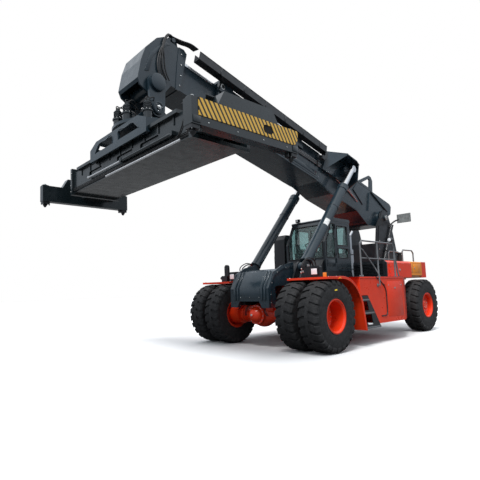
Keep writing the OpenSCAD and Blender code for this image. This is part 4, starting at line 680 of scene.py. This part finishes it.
for name, u, y, w, radius, slot, material in (
        ("pivot_caps", 0, 0.661, 0, 0.085, "chrome", zinc),
        ("eye_boss_caps", 2.64, 0.664, 0.63, 0.105, "steel_paint", blue_grey_enamel)):
    pin_caps = []
    for side in (1, -1):
        out = (0, side, 0)
        pin_caps += [drum(on_boom(u, side * y, w), out, radius, 0.020),
                     nuts_round(on_boom(u, side * (y + 0.018), w), out, radius * 0.68, 6, 0.020, 0.008)]
    finished(pin_caps, name, "outer_boom", slot, material)
ring_boss = [drum(on_boom(boom_end - 0.090, y, 0.640), (0, 1, 0), radius, length)
             for y, radius, length in ((0.489, 0.105, 0.030), (0.519, 0.045, 0.026))]
finished(ring_boss, "ring_boss", "outer_boom", "steel_paint", frame_enamel)
white_plate = moulded("white_plate", (0.62, 0.63, 0.62), 0.4)
ring_collar = turned([(0.046, 0), (0.076, 0), (0.076, 0.010), (0.046, 0.014)],
                     on_boom(boom_end - 0.090, 0.5185, 0.640), (0, 1, 0), 48)
finished(ring_collar, "ring_collar", "outer_boom", "chrome", white_plate)


# Inner boom: bright slide strips along its upper corners and on its top, rubbed
# clean by the pads, ahead of the collar.
bright_strip = plated("bright_strip", (0.86, 0.87, 0.88), 0.28)
inner_side, inner_upper, strip_start, strip_end = 0.375, 0.695, 8.09, 8.94
strips = []
for side in (1, -1):
    strips.append(boom_box((strip_start, inner_side + 0.0005, inner_upper - 0.068),
                           (strip_end, inner_side + 0.0145, inner_upper - 0.008), 0.003, 2, side))
    strips.append(boom_box((strip_start, 0.235, inner_upper), (strip_end, 0.345, inner_upper + 0.004),
                           0.002, 2, side))
finished(strips, "slide_strips", "inner_boom", "chrome", bright_strip)


# Hose tray: supply hoses on the guide chain, its link pins and bars, and the
# edge strips and upright ribs of the tray's sides.
tray_side, tray_floor, link_pitch = 0.510, 0.740, 0.128
chain_pins, tray_hoses = [], []
for i in range(34):
    u = 3.992 + link_pitch * i
    chain_pins.append(drum(on_boom(u - 0.012, tray_side + 0.026, tray_floor + 0.085), (0, 1, 0),
                           0.020, 0.138, 0.1, 12))
    chain_pins.append(boom_box((u - 0.022, tray_side + 0.034, tray_floor + 0.148),
                               (u + 0.012, tray_side + 0.156, tray_floor + 0.160), 0.003, 1))
finished(chain_pins, "chain_pins", "outer_boom", "black_paint", rubber)
for row in range(4):
    y = tray_side + 0.048 + 0.032 * row
    tray_hoses.append(hose([(u, y, tray_floor + rise) for u, rise in (
        (3.80, 0.03), (4.4, 0.162), (6.5, 0.168), (8.50, 0.162), (8.74, 0.12))], 0.013, 4, 1, on_boom))
finished(tray_hoses, "tray_hoses", "outer_boom", "black_paint", rubber)
tray_rim = tray_floor + 0.182
tray_trim = [boom_box((3.77, y, tray_rim), (8.80, y + 0.008, tray_rim + 0.012), 0.003)
             for y in (tray_side + 0.188, tray_side - 0.006)]
tray_trim += [boom_box((u, tray_side + 0.189, tray_floor + 0.005),
                       (u + 0.04, tray_side + 0.198, tray_rim), 0.003)
              for u in (4.1, 4.9, 5.7, 6.5, 7.3, 8.1)]
finished(tray_trim, "tray_edges", "outer_boom", "black_paint", frame_enamel)


# Boom head: ribs and pin bosses on the cheeks, screws of the cheeks and the top
# plate, and the hoses that cross the head and hang down to the link.
head_side = 0.400
head_trim, head_bolts, head_hoses = [], [], []
for side in (1, -1):
    out = (0, side, 0)
    rib = outline([(9.42, 0.86), (9.56, 0.86), (9.86, 0.38), (9.90, 0.02), (9.90, -0.10), (9.80, -0.05),
                   (9.78, 0.34), (9.50, 0.78)], side * head_side, side * (head_side + 0.010))
    head_trim += [softened(rib, 0.004), drum(on_boom(9.34, side * 0.352, 1.06), out, 0.055, 0.018)]
    rib.data.transform(boom_tilt)
    for u, w in ((9.00, 0.05), (9.02, 0.30), (9.06, 0.55), (9.10, 0.80)):
        head_bolts.append(nut(on_boom(u, side * (head_side + 0.015), w), out, 0.032, 0.014))
for y in (-0.30, -0.10, 0.10, 0.30):
    head_bolts.append(nut(on_boom(9.30, y, 0.938), above_boom, 0.028, 0.010))
for row in range(5):
    out, inward, y = 0.008 * row, 0.03 * row, 0.432 + 0.028 * (row % 3)
    head_hoses.append(hose([(8.84 + out, 0.665 - inward, 0.972), (9.00, 0.60 - inward, 1.035),
                            (9.18, 0.46 - inward, 1.090), (9.36 + out, 0.36 - 0.02 * row, 1.130),
                            (9.50 + out, 0.42, 1.06), (9.60 + out, y, 0.77), (9.665 - inward, y, 0.44),
                            (9.63 - 0.05 * row, y, 0.13), (9.54 - 0.06 * row, y, -0.02)],
                           0.015, 5, 1, on_boom))
finished(head_trim, "head_ribs", "inner_boom", "steel_paint", blue_grey_enamel)
finished(head_bolts, "head_bolts", "inner_boom", "chrome", zinc)
finished(head_hoses, "head_hoses", "inner_boom", "black_paint", rubber)


# Lift cylinders: glands with a bright wiper ring, a bare plate on the left
# barrel, and clamps on the feed pipes.
foot_pin = at(foot_x, 0, foot_z)
up_cylinder = (on_boom(2.640, 0, 0.630) - foot_pin).normalized()
barrel_end, barrel_radius, cylinder_y = 3.250, 0.140, 0.860
rings, wipers, pipe_clamps = [], [], []


def on_cylinder(length, y):
    return foot_pin + Vector((0, y, 0)) + up_cylinder * length


for side in (1, -1):
    y = side * cylinder_y
    for length, section in ((barrel_end - 0.062, [(0.10, 0), (0.150, 0), (0.158, 0.008), (0.158, 0.052),
                                                  (0.150, 0.060), (0.10, 0.060)]),
                            (2.30, [(0.138, 0), (0.150, 0.006), (0.150, 0.030), (0.138, 0.036)])):
        rings.append(turned(section, on_cylinder(length, y), up_cylinder, 48))
    rings.append(nuts_round(on_cylinder(barrel_end - 0.004, y), up_cylinder, 0.130, 12, 0.022, 0.012))
    wipers.append(turned([(0.0915, 0), (0.112, 0), (0.112, 0.022), (0.100, 0.034), (0.0915, 0.034)],
                         on_cylinder(barrel_end - 0.002, y), up_cylinder, 48))
    for length in (0.72, 1.45, 2.20, 2.85):
        pipe_clamps.append(drum(on_cylinder(length - 0.02, y - side * 0.140), up_cylinder,
                                0.034, 0.04, 0.15, 20))
finished(rings, "barrel_rings", "lift_barrels", "steel_paint", blue_grey_enamel)
finished(wipers, "rod_wipers", "lift_barrels", "chrome", bright_strip)
finished(pipe_clamps, "barrel_clamps", "lift_barrels", "black_paint", rubber)
towards = Vector((0.62, 0.75, 0))
plate_out = (towards - up_cylinder * towards.dot(up_cylinder)).normalized()
fan = [Matrix.Rotation(radians(-30 + 10 * k), 3, up_cylinder) @ plate_out for k in range(7)]
rim = [out * (barrel_radius + 0.0005) for out in fan]
rim += [out * (barrel_radius + 0.004) for out in reversed(fan)]
bare_plate = pulled([on_cylinder(1.51, cylinder_y) + out for out in rim], up_cylinder * 0.22)
finished(bare_plate, "barrel_plate", "lift_barrels", "steel_paint", white_plate)


# Head link: a plain domed cap on the upper pin, a keeper ring and a plated nut
# on the lower one.
head_pin = on_boom(9.600, 0, -0.270)
low_pin = head_pin - Vector((0, 0, 0.550))
link_caps, pin_nuts = [], []
for side in (1, -1):
    out = Vector((0, side, 0))
    link_caps.append(turned([(0, 0), (0.150, 0), (0.176, 0.004), (0.184, 0.012), (0.150, 0.024), (0, 0.028)],
                            head_pin + out * 0.549, out, 64))
    link_caps.append(turned([(0.098, 0), (0.128, 0), (0.128, 0.012), (0.098, 0.016)],
                            low_pin + out * 0.539, out, 48))
    pin_nuts += [nut(low_pin + out * 0.534, out, 0.105, 0.035),
                 drum(low_pin + out * 0.566, out, 0.022, 0.016, 0.2, 20),
                 nuts_round(low_pin + out * 0.539, out, 0.082, 3, 0.022, 0.010)]
finished(link_caps, "link_caps", "link", "steel_paint", blue_grey_enamel)
finished(pin_nuts, "link_nuts", "link", "chrome", zinc)


# Rotator: the ring of bolts in its plate, the motors' flange bolts and ribs,
# and short hoses from each motor to the manifold between the clevis plates.
def on_slew(x, y, z):
    """A place measured from the slewing axis, its height from the ground."""
    return at(3.630 + x, y, z)


plate_top, motor_foot = 4.9905, 4.9908
upright = (0, 0, 1)
ring_bolts = [nuts_round(on_slew(0, 0, plate_top), upright, 0.655, 44, 0.032, 0.018)]
motor_ribs, motor_hoses = [], []
for x, y in ((0.560, 0.190), (0.560, -0.190), (0.290, 0.545), (0.290, -0.545)):
    ring_bolts.append(nuts_round(on_slew(x, y, motor_foot + 0.180), upright, 0.094, 8, 0.020, 0.012))
    motor_ribs += [turned([(0.074, 0), (0.090, 0.004), (0.090, 0.012), (0.074, 0.016)],
                          on_slew(x, y, motor_foot + 0.215 + 0.034 * k), upright, 32) for k in range(4)]
    motor_ribs.append(drum(on_slew(x, y, motor_foot + 0.390), upright, 0.040, 0.030, 0.2, 20))
    for k in (-1, 1):
        port_x, port_y, port = x + 0.03 * k, y + 0.02, motor_foot + 0.36
        motor_hoses.append(hose([
            (port_x, port_y, port), (port_x + 0.015 * k, port_y, port + 0.075),
            (port_x - 0.10, port_y - 0.04 * k, port + 0.10), (0.20, 0.10 * k + y * 0.3, motor_foot + 0.26),
            (0.13, 0.08 * k + y * 0.25, motor_foot + 0.11)], 0.012, 4, 1, on_slew))
finished(ring_bolts, "rotator_bolts", "rotator", "chrome", zinc)
finished(motor_ribs, "motor_ribs", "rotator", "cast_iron", spreader_enamel)
finished(motor_hoses, "motor_hoses", "rotator", "black_paint", rubber)
manifold = [box((0.06, -0.17, motor_foot), (0.20, 0.17, motor_foot + 0.12), 0.006, 2, 1, on_slew)]
for k in range(5):
    manifold.append(nut(on_slew(0.20, -0.13 + 0.065 * k, motor_foot + 0.06), (1, 0, 0), 0.030, 0.014))
finished(manifold, "rotator_manifold", "rotator", "cast_iron", frame_enamel)


# Carriage: the slewing ring's teeth, the nuts on top of its side frames, and
# stiffened lips round the openings of these frames.
tooth = outline([(0.638, -0.014), (0.652, -0.007), (0.652, 0.007), (0.638, 0.014)], 4.855, 4.915, "Z")
teeth = ring_of(tooth, 84, Vector((0, 0, 0)), upright)
teeth.data.transform(Matrix.Translation(on_slew(0, 0, 0)))
finished(teeth, "slew_teeth", "carriage", "cast_iron", zinc)
carriage_trim = []
for side in (1, -1):
    for x in (-0.741, 0.741):
        carriage_trim.append(hose([(x, 0.12, 4.59), (x, 0.12, 4.75), (x, 0.415, 4.75), (x, 0.71, 4.75),
                                   (x, 0.90, 4.59)], 0.010, 4, side, on_slew))
    for x in (-0.66, 0.66):
        carriage_trim.append(nuts_round(on_slew(x, side * 1.05, 4.730), upright, 0.035, 4, 0.026, 0.012))
finished(carriage_trim, "carriage_trim", "carriage", "steel_paint", blue_grey_enamel)


# Spreader: chromed rods of the spreading cylinders, hoses along both sides
# with a pair of loose loops in front, and the collar bolts.
rods, side_hoses, collar_bolts = [], [], []
for side in (1, -1):
    for y, section in ((0.10, [(0, 0), (0.020, 0), (0.020, 1.42), (0, 1.42)]),
                       (-1.32, [(0.020, 0), (0.034, 0), (0.034, 0.07), (0.020, 0.07)])):
        rods.append(turned(section, on_slew(side * 0.672, side * y, 4.170), (0, -side, 0), 24))
    for k in range(3):
        side_hoses.append(hose([(side * 0.645, y, 4.045 + 0.026 * k) for y in (-2.26, -1.2, 0.1, 1.3, 2.26)],
                               0.009, 3, 1, on_slew))
    for y in (-2.34, 2.34):
        collar_bolts += [nut(on_slew(side * 0.68, y, 4.03 + 0.15 * k), (side, 0, 0), 0.030, 0.014)
                         for k in range(4)]
        collar_bolts += [nut(on_slew(side * (0.10 + 0.10 * k), y, 4.61), upright, 0.028, 0.012)
                         for k in range(6)]
rods.append(hose([(0.694, -0.50, 3.985), (0.694, 2.10, 3.985)], 0.020, 1, 1, on_slew))
for y in (2.06, 2.11):
    side_hoses.append(hose([(0.62, y, 4.640), (0.69, y + 0.14, 4.560), (0.71, y + 0.16, 4.330),
                            (0.70, y + 0.04, 4.130), (0.66, y - 0.09, 4.080)], 0.011, 5, 1, on_slew))
finished(rods, "spreading_rods", "spreader", "chrome", bright_strip)
finished(side_hoses, "spreader_hoses", "spreader", "black_paint", rubber)
finished(collar_bolts, "collar_bolts", "spreader", "chrome", zinc)


# End beams: bolts on the twistlock housings, the landed pins and their plates,
# guide lips, four rivets on each outer face, and a black sheet in the panel's hole:
# painted shade for the dark inside of the hole.
lock_y, lock_z, face_y = 2.9265, 3.840, 3.0215
for name, side in (("left", 1), ("right", -1)):
    lock_nuts, lips = [], []
    for x in (-1.1295, 1.1295):
        corner = on_slew(x, side * lock_y, lock_z)
        for dx in (-0.066, 0.066):
            for dy in (-0.060, 0.060):
                lock_nuts.append(nut(corner + Vector((dx, dy, -0.060)), (0, 0, -1), 0.022, 0.010))
        pin = corner + Vector((0.120 if x < 0 else -0.120, side * 0.03, 0))
        lips.append(drum(pin, (0, 0, -1), 0.017, 0.075, 0.2, 16))
        for half, near, far, low, high in ((0.07, side * 0.094, side * 0.106, 0.02, 0.12),
                                           (0.075, -0.055, 0.055, 0.404, 0.428)):
            lips.append(box((-half, near, low), (half, far, high), 0.004, 2, 1,
                            lambda *place: corner + Vector(place)))
        lock_nuts.append(drum(corner + Vector((0, 0, 0.428)), upright, 0.034, 0.030, 0.2, 20))
    for x in (-0.9, -0.3, 0.3, 0.9):
        lock_nuts.append(nut(on_slew(x, side * face_y, 3.90), (0, side, 0), 0.024, 0.006))
    finished(lock_nuts, "lock_nuts_" + name, "telescope_" + name, "chrome", zinc)
    finished(lips, "lock_lips_" + name, "telescope_" + name, "steel_paint", spreader_enamel)
# Painted shade: a thin black sheet set in each panel's hole, standing in for the dark inside of the hole.
painted_shade_black = moulded("painted_shade_black", (0.002, 0.002, 0.002), 0.9)
hole_x, hole_z = 3.210, 4.0975
for name, side in (("left", 1), ("right", -1)):
    shade = cut_plate([(hole_x + x * 1.05, hole_z + z) for x, z in (
        (-0.130, 0), (-0.098, 0.078), (0.098, 0.078), (0.130, 0), (0.098, -0.078), (-0.098, -0.078))],
        side * 3.0205, side * 3.0232, 0.001, 1)
    finished(shade, "painted_hole_shade_" + name, "telescope_" + name, "steel_paint", painted_shade_black)


# Cab: rubber gaskets round the panes, a wiper on the windscreen, pads, a lever
# and pedals inside, door seals, and seams, plates and grips on its sides.
cab_face, brow_x, brow_z, cab_side = -1.950, -2.246, 3.330, 0.670
seal_side, seam_side = cab_side + 0.002, 0.6705


def loop_of(points, radius, closed=True, side=1):
    """Straight round lengths from point to point."""
    ends = points[1:] + points[:1] if closed else points[1:]
    return joined([hose([a, b], radius, 1, side) for a, b in zip(points, ends)])


gaskets = [loop_of([(cab_face, -0.590, 2.330), (cab_face, 0.590, 2.330), (cab_face, 0.590, 2.785),
                    (brow_x, 0.590, brow_z), (brow_x, -0.590, brow_z), (cab_face, -0.590, 2.785)], 0.013),
           loop_of([(-3.302, -0.578, 2.505), (-3.302, 0.578, 2.505), (-3.302, 0.578, 3.305),
                    (-3.302, -0.578, 3.305)], 0.012),
           loop_of([(-2.945, -0.495, 3.512), (-2.485, -0.495, 3.512), (-2.485, 0.495, 3.512),
                    (-2.945, 0.495, 3.512)], 0.011)]
for side in (1, -1):
    gaskets.append(loop_of([(x, seal_side, z) for x, z in (
        (-2.022, 2.332), (-2.022, 2.798), (-2.292, 3.328), (-2.438, 3.328), (-2.438, 2.332))],
        0.011, True, side))
finished(gaskets, "cab_gaskets", "chassis", "black_paint", rubber)
wiper = [drum(at(cab_face, 0.300, 2.300), (1, 0, 0), 0.030, 0.028, 0.2, 24),
         hose([(-1.928, 0.300, 2.300), (-1.925, 0.255, 2.520), (-1.932, 0.200, 2.780), (-2.060, 0.120, 3.050)],
              0.009, 4),
         loop_of([(-1.936, 0.270, 2.640), (-1.936, 0.215, 2.785), (-2.150, 0.080, 3.190)], 0.007, False),
         box((-1.952, -0.380, 2.240), (-1.934, -0.120, 2.300), 0.006)]
finished(wiper, "wiper", "chassis", "black_paint", rubber)
inside = [box((-3.045, -0.215, 2.420), (-2.600, 0.215, 2.445), 0.010, 3),
          drum(at(-2.760, -0.295, 2.610), (0.1, 0, 1), 0.018, 0.130, 0.3, 20)]
inside += [box((-2.990, 0.268, 2.598), (-2.700, 0.322, 2.616), 0.008, 2, side) for side in (1, -1)]
inside += [box((-2.140, y0, 1.998), (-2.115, y1, 2.120), 0.008)
           for y0, y1 in ((0.030, 0.150), (-0.170, -0.060))]
finished(inside, "cab_pads", "chassis", "seat_cover", rubber)
for name, side in (("left", 1), ("right", -1)):
    seals = [loop_of([(x0, seal_side, z0), (x0, seal_side, z1), (x1, seal_side, z1), (x1, seal_side, z0)],
                     0.011, True, side)
             for x0, x1, z0, z1 in ((-3.142, -2.594, 2.705, 3.285), (-3.130, -2.624, 2.335, 2.615))]
    seals.append(box((-3.185, 0.668, 2.500), (-3.120, 0.678, 2.575), 0.004, 2, side))
    finished(seals, "door_seals_" + name, "cab_door_" + name, "black_paint", rubber)
cab_trim = []
for side in (1, -1):
    cab_trim.append(loop_of([(-3.228, seam_side, 2.035), (-2.497, seam_side, 2.035)], 0.005, False, side))
    cab_trim.append(box((-2.430, 0.668, 2.080), (-2.020, 0.678, 2.270), 0.006, 2, side))
    cab_trim += [drum(at(x, side * 0.678, z), (0, side, 0), 0.009, 0.004, 0.2, 12)
                 for z in (2.10, 2.25) for x in (-2.41, -2.04)]
    cab_trim.append(hose([(-2.47, 0.674, 2.40), (-2.462, 0.712, 2.44), (-2.462, 0.712, 2.86),
                          (-2.47, 0.674, 2.90)], 0.011, 4, side))
finished(cab_trim, "cab_trim", "chassis", "cab_paint", cab_enamel)


# Lamps: plain white glass in the headlamps, roof lamps and rail lamp, amber and
# red covers on the others, thin bezels, and the mirror's silvered glass.
def covered(name, colour, glow):
    made, tree, paint = look(name, 0.12)
    tone = mapped(tree, noise(tree, 60.0, 2.0), 0.3, 0.7)
    feed(tree, paint["Base Color"], mixed(tree, tone, [c * 0.8 for c in colour], colour))
    paint["Coat Weight"].default_value = 0.6
    paint["Emission Color"].default_value = (*colour, 1)
    paint["Emission Strength"].default_value = glow
    return made


def lens(place, axis, radius):
    return turned([(0, 0), (radius, 0), (radius, radius * 0.12), (radius * 0.75, radius * 0.26),
                   (0, radius * 0.36)], place, axis, 40)


headlamp_y, rail_lamp = 1.3975, at(-3.195, 1.900, 2.756)
glasses, bezels, amber_lenses, red_lenses = [], [], [], []
for side in (1, -1):
    glasses.append(box((-0.280, headlamp_y - 0.080, 1.805), (-0.262, headlamp_y + 0.080, 1.945),
                       0.007, 4, side))
    bezels.append(box((-0.277, headlamp_y - 0.094, 1.791), (-0.268, headlamp_y + 0.094, 1.959),
                      0.003, 3, side))
    glasses.append(lens(at(-2.406, side * 0.560, 3.588), (1, 0, 0), 0.031))
    for lenses, z in ((amber_lenses, 2.08), (red_lenses, 1.92)):
        lenses.append(lens(at(-7.090, side * 1.220, z), (-0.76, side * 0.65, 0), 0.050))
amber_lenses.append(box((-0.311, 1.612, 1.735), (-0.302, 1.708, 1.838), 0.004, 3))
glasses.append(lens(rail_lamp, (1, 0, 0), 0.052))
bezels.append(turned([(0.050, 0), (0.0595, 0), (0.0595, 0.010), (0.050, 0.014)], rail_lamp, (1, 0, 0), 32))
finished(glasses, "lamp_glasses", "chassis", "lamp_plastic", covered("white_glass", (0.86, 0.88, 0.90), 0.16))
finished(bezels, "lamp_bezels", "chassis", "black_paint", rubber)
finished(amber_lenses, "amber_covers", "chassis", "lamp_plastic",
         covered("amber_cover", (0.80, 0.28, 0.03), 0.08))
finished(red_lenses, "red_covers", "chassis", "lamp_plastic", covered("red_cover", (0.55, 0.02, 0.01), 0.06))
mirror = outline([(-1.690, 1.90), (-1.665, 1.868), (-1.585, 1.868), (-1.560, 1.90), (-1.560, 2.185),
                  (-1.585, 2.218), (-1.665, 2.218), (-1.690, 2.185)], -0.3255 + shift, -0.3295 + shift, "X")
finished(softened(mirror, 0.001, 1), "mirror_glass", "chassis", "chrome",
         plated("mirror_silver", (0.85, 0.87, 0.88), 0.03))


# Engine hood and rear boxes: door hinges, latches and handles, grille screws,
# and pressed panels on the box sides.
hood_side, hood_ahead, box_side = 1.488, -3.850, 1.330
latches, hinges, panels = [], [], []
for side in (1, -1):
    out = (0, side, 0)
    for z in (1.86, 2.05):
        hinges.append(drum(at(-3.985, side * (hood_side + 0.010), z), upright, 0.013, 0.070, 0.2, 16))
        hinges.append(box((-4.040, hood_side - 0.001, z + 0.005), (-3.985, hood_side + 0.008, z + 0.065),
                          0.003, 2, side))
    latches.append(box((-4.655, hood_side - 0.001, 1.925), (-4.590, hood_side + 0.014, 1.985),
                       0.005, 2, side))
    latches.append(drum(at(-4.622, side * (hood_side + 0.012), 1.955), out, 0.014, 0.012, 0.2, 16))
    latches += [nut(at(x, side * (hood_side - 0.008), 2.145), out, 0.020, 0.009)
                for x in (-5.35, -4.90, -4.80, -3.92)]
    for x0, x1 in ((-6.480, -5.980), (-5.930, -5.560)):
        panels.append(box((x0, box_side - 0.002, 1.880), (x1, box_side + 0.007, 2.175), 0.008, 2, side))
        pull = x1 - 0.050
        latches.append(box((pull - 0.02, box_side + 0.006, 1.99), (pull + 0.02, box_side + 0.018, 2.07),
                           0.004, 2, side))
latches += [nut(at(hood_ahead + 0.0503, y, z), (1, 0, 0), 0.018, 0.008)
            for y in (-1.42, -0.72, 0.0, 0.72, 1.42) for z in (1.750, 2.185)]
finished(latches, "hood_latches", "chassis", "chrome", zinc)
finished(hinges, "hood_hinges", "chassis", "red_paint", red_enamel)
finished(panels, "box_panels", "chassis", "orange_paint", orange_enamel)


# Counterweight and tower: lifting eyes on top, nuts in the jaw and on the
# tower's edges, clamps on the pipe pairs and stack, and the arm's plain grey plate.
eye_y, jaw_y, tower_y = 0.90, 0.180, 0.620
heavy, pipe_clips = [], []
for side in (1, -1):
    heavy.append(box((-7.03, eye_y - 0.02, 2.249), (-6.93, eye_y + 0.02, 2.262), 0.004, 2, side))
    heavy.append(hose([(x, eye_y, z) for x, z in (
        (-7.025, 2.255), (-7.015, 2.320), (-6.980, 2.342), (-6.945, 2.320), (-6.935, 2.255))], 0.011, 5, side))
    heavy += [nut(at(-7.1395, side * jaw_y, z), (-1, 0, 0), 0.030, 0.005) for z in (1.19, 1.46)]
    heavy += [nut(at(-5.04 - (z - 2.03) / 1.45 * 0.33, side * tower_y, z), (0, side, 0), 0.034, 0.016)
              for z in (2.15, 2.42, 2.70, 2.98)]
    for x, z in ((-5.362, 1.92), (-5.362, 2.16), (-5.592, 2.66), (-5.842, 3.09)):
        pipe_clips.append(box((x - 0.085, 0.640, z - 0.022), (x + 0.085, 0.716, z + 0.022), 0.006, 2, side))
for z in (2.00, 2.45):
    pipe_clips.append(turned([(0.088, 0), (0.097, 0), (0.097, 0.030), (0.088, 0.030)], at(-3.620, 0.480, z),
                             upright, 48))
finished(heavy, "weight_bolts", "chassis", "chrome", zinc)
finished(pipe_clips, "pipe_clips", "chassis", "black_paint", rubber)
finished(box((-6.2005, 0.828, 3.628), (-6.1955, 1.262, 3.912), 0.002, 1), "plate_face", "chassis",
         "steel_paint", moulded("bare_plate_grey", (0.16, 0.18, 0.18), 0.5))


# Valve cabinet: two pressed doors, the louvres of the upper one, and a bright
# bow handle on each.
door_low, door_high = -2.360, -2.060
doors = [box((door_low, -1.187, 1.810), (-2.030, -1.178, 2.400), 0.008),
         box((door_low, -1.187, 2.430), (door_high, -1.178, 2.980), 0.008)]
doors += [box((-2.330, -1.192, 2.86 - 0.05 * k), (-2.090, -1.184, 2.882 - 0.05 * k), 0.004) for k in range(6)]
finished(doors, "cabinet_doors", "chassis", "black_paint", frame_enamel)
bow = ((-1.180, 0), (-1.215, 0.01), (-1.215, 0.11), (-1.180, 0.12))
handles = [hose([(door_high, y, z + rise) for y, rise in bow], 0.008, 3) for z in (2.10, 2.60)]
finished(handles, "cabinet_handles", "chassis", "chrome", zinc)


# Outer left tyre: one plain dab of yellow paint on its wall, with no marking,
# high on the side that faces out.
yellow_dab = moulded("yellow_dab", (0.75, 0.55, 0.03), 0.5)
dab = cut_plate([(-0.055, 1.405), (0.045, 1.400), (0.050, 1.428), (-0.050, 1.436)], 2.113, 2.1215, 0.002, 1)
finished(dab, "tyre_dab", "front_wheels_left", "tyre", yellow_dab)


# Warning panels on the end beams: even bands of yellow and black that lean,
# scuffed to the metal in places.
def banded(name, yellow, black, pitch, lean):
    made, tree, paint = look(name, 0.45)
    place = added(tree, "TexCoord", "Object")
    along, height = (added(tree, "SeparateXYZ", key, {0: place}) for key in "XZ")
    slanted = worked(tree, "SUBTRACT", along, worked(tree, "MULTIPLY", height, lean))
    band = mapped(tree, worked(tree, "FRACT", worked(tree, "MULTIPLY", slanted, 1 / pitch)), 0.56, 0.60)
    worn = mapped(tree, noise(tree, 26.0, 6.0), 0.66, 0.74, 0.0, 0.55)
    feed(tree, paint["Base Color"], mixed(tree, worn, mixed(tree, band, yellow, black), (0.16, 0.13, 0.09)))
    bump(tree, paint, noise(tree, 95.0, 2.0), 0.10, 0.001)
    return made


dress(banded("warning_bands", (0.84, 0.50, 0.070), (0.030, 0.024, 0.016), 0.096, 0.62),
      "hazard_panel_left", "hazard_panel_right")
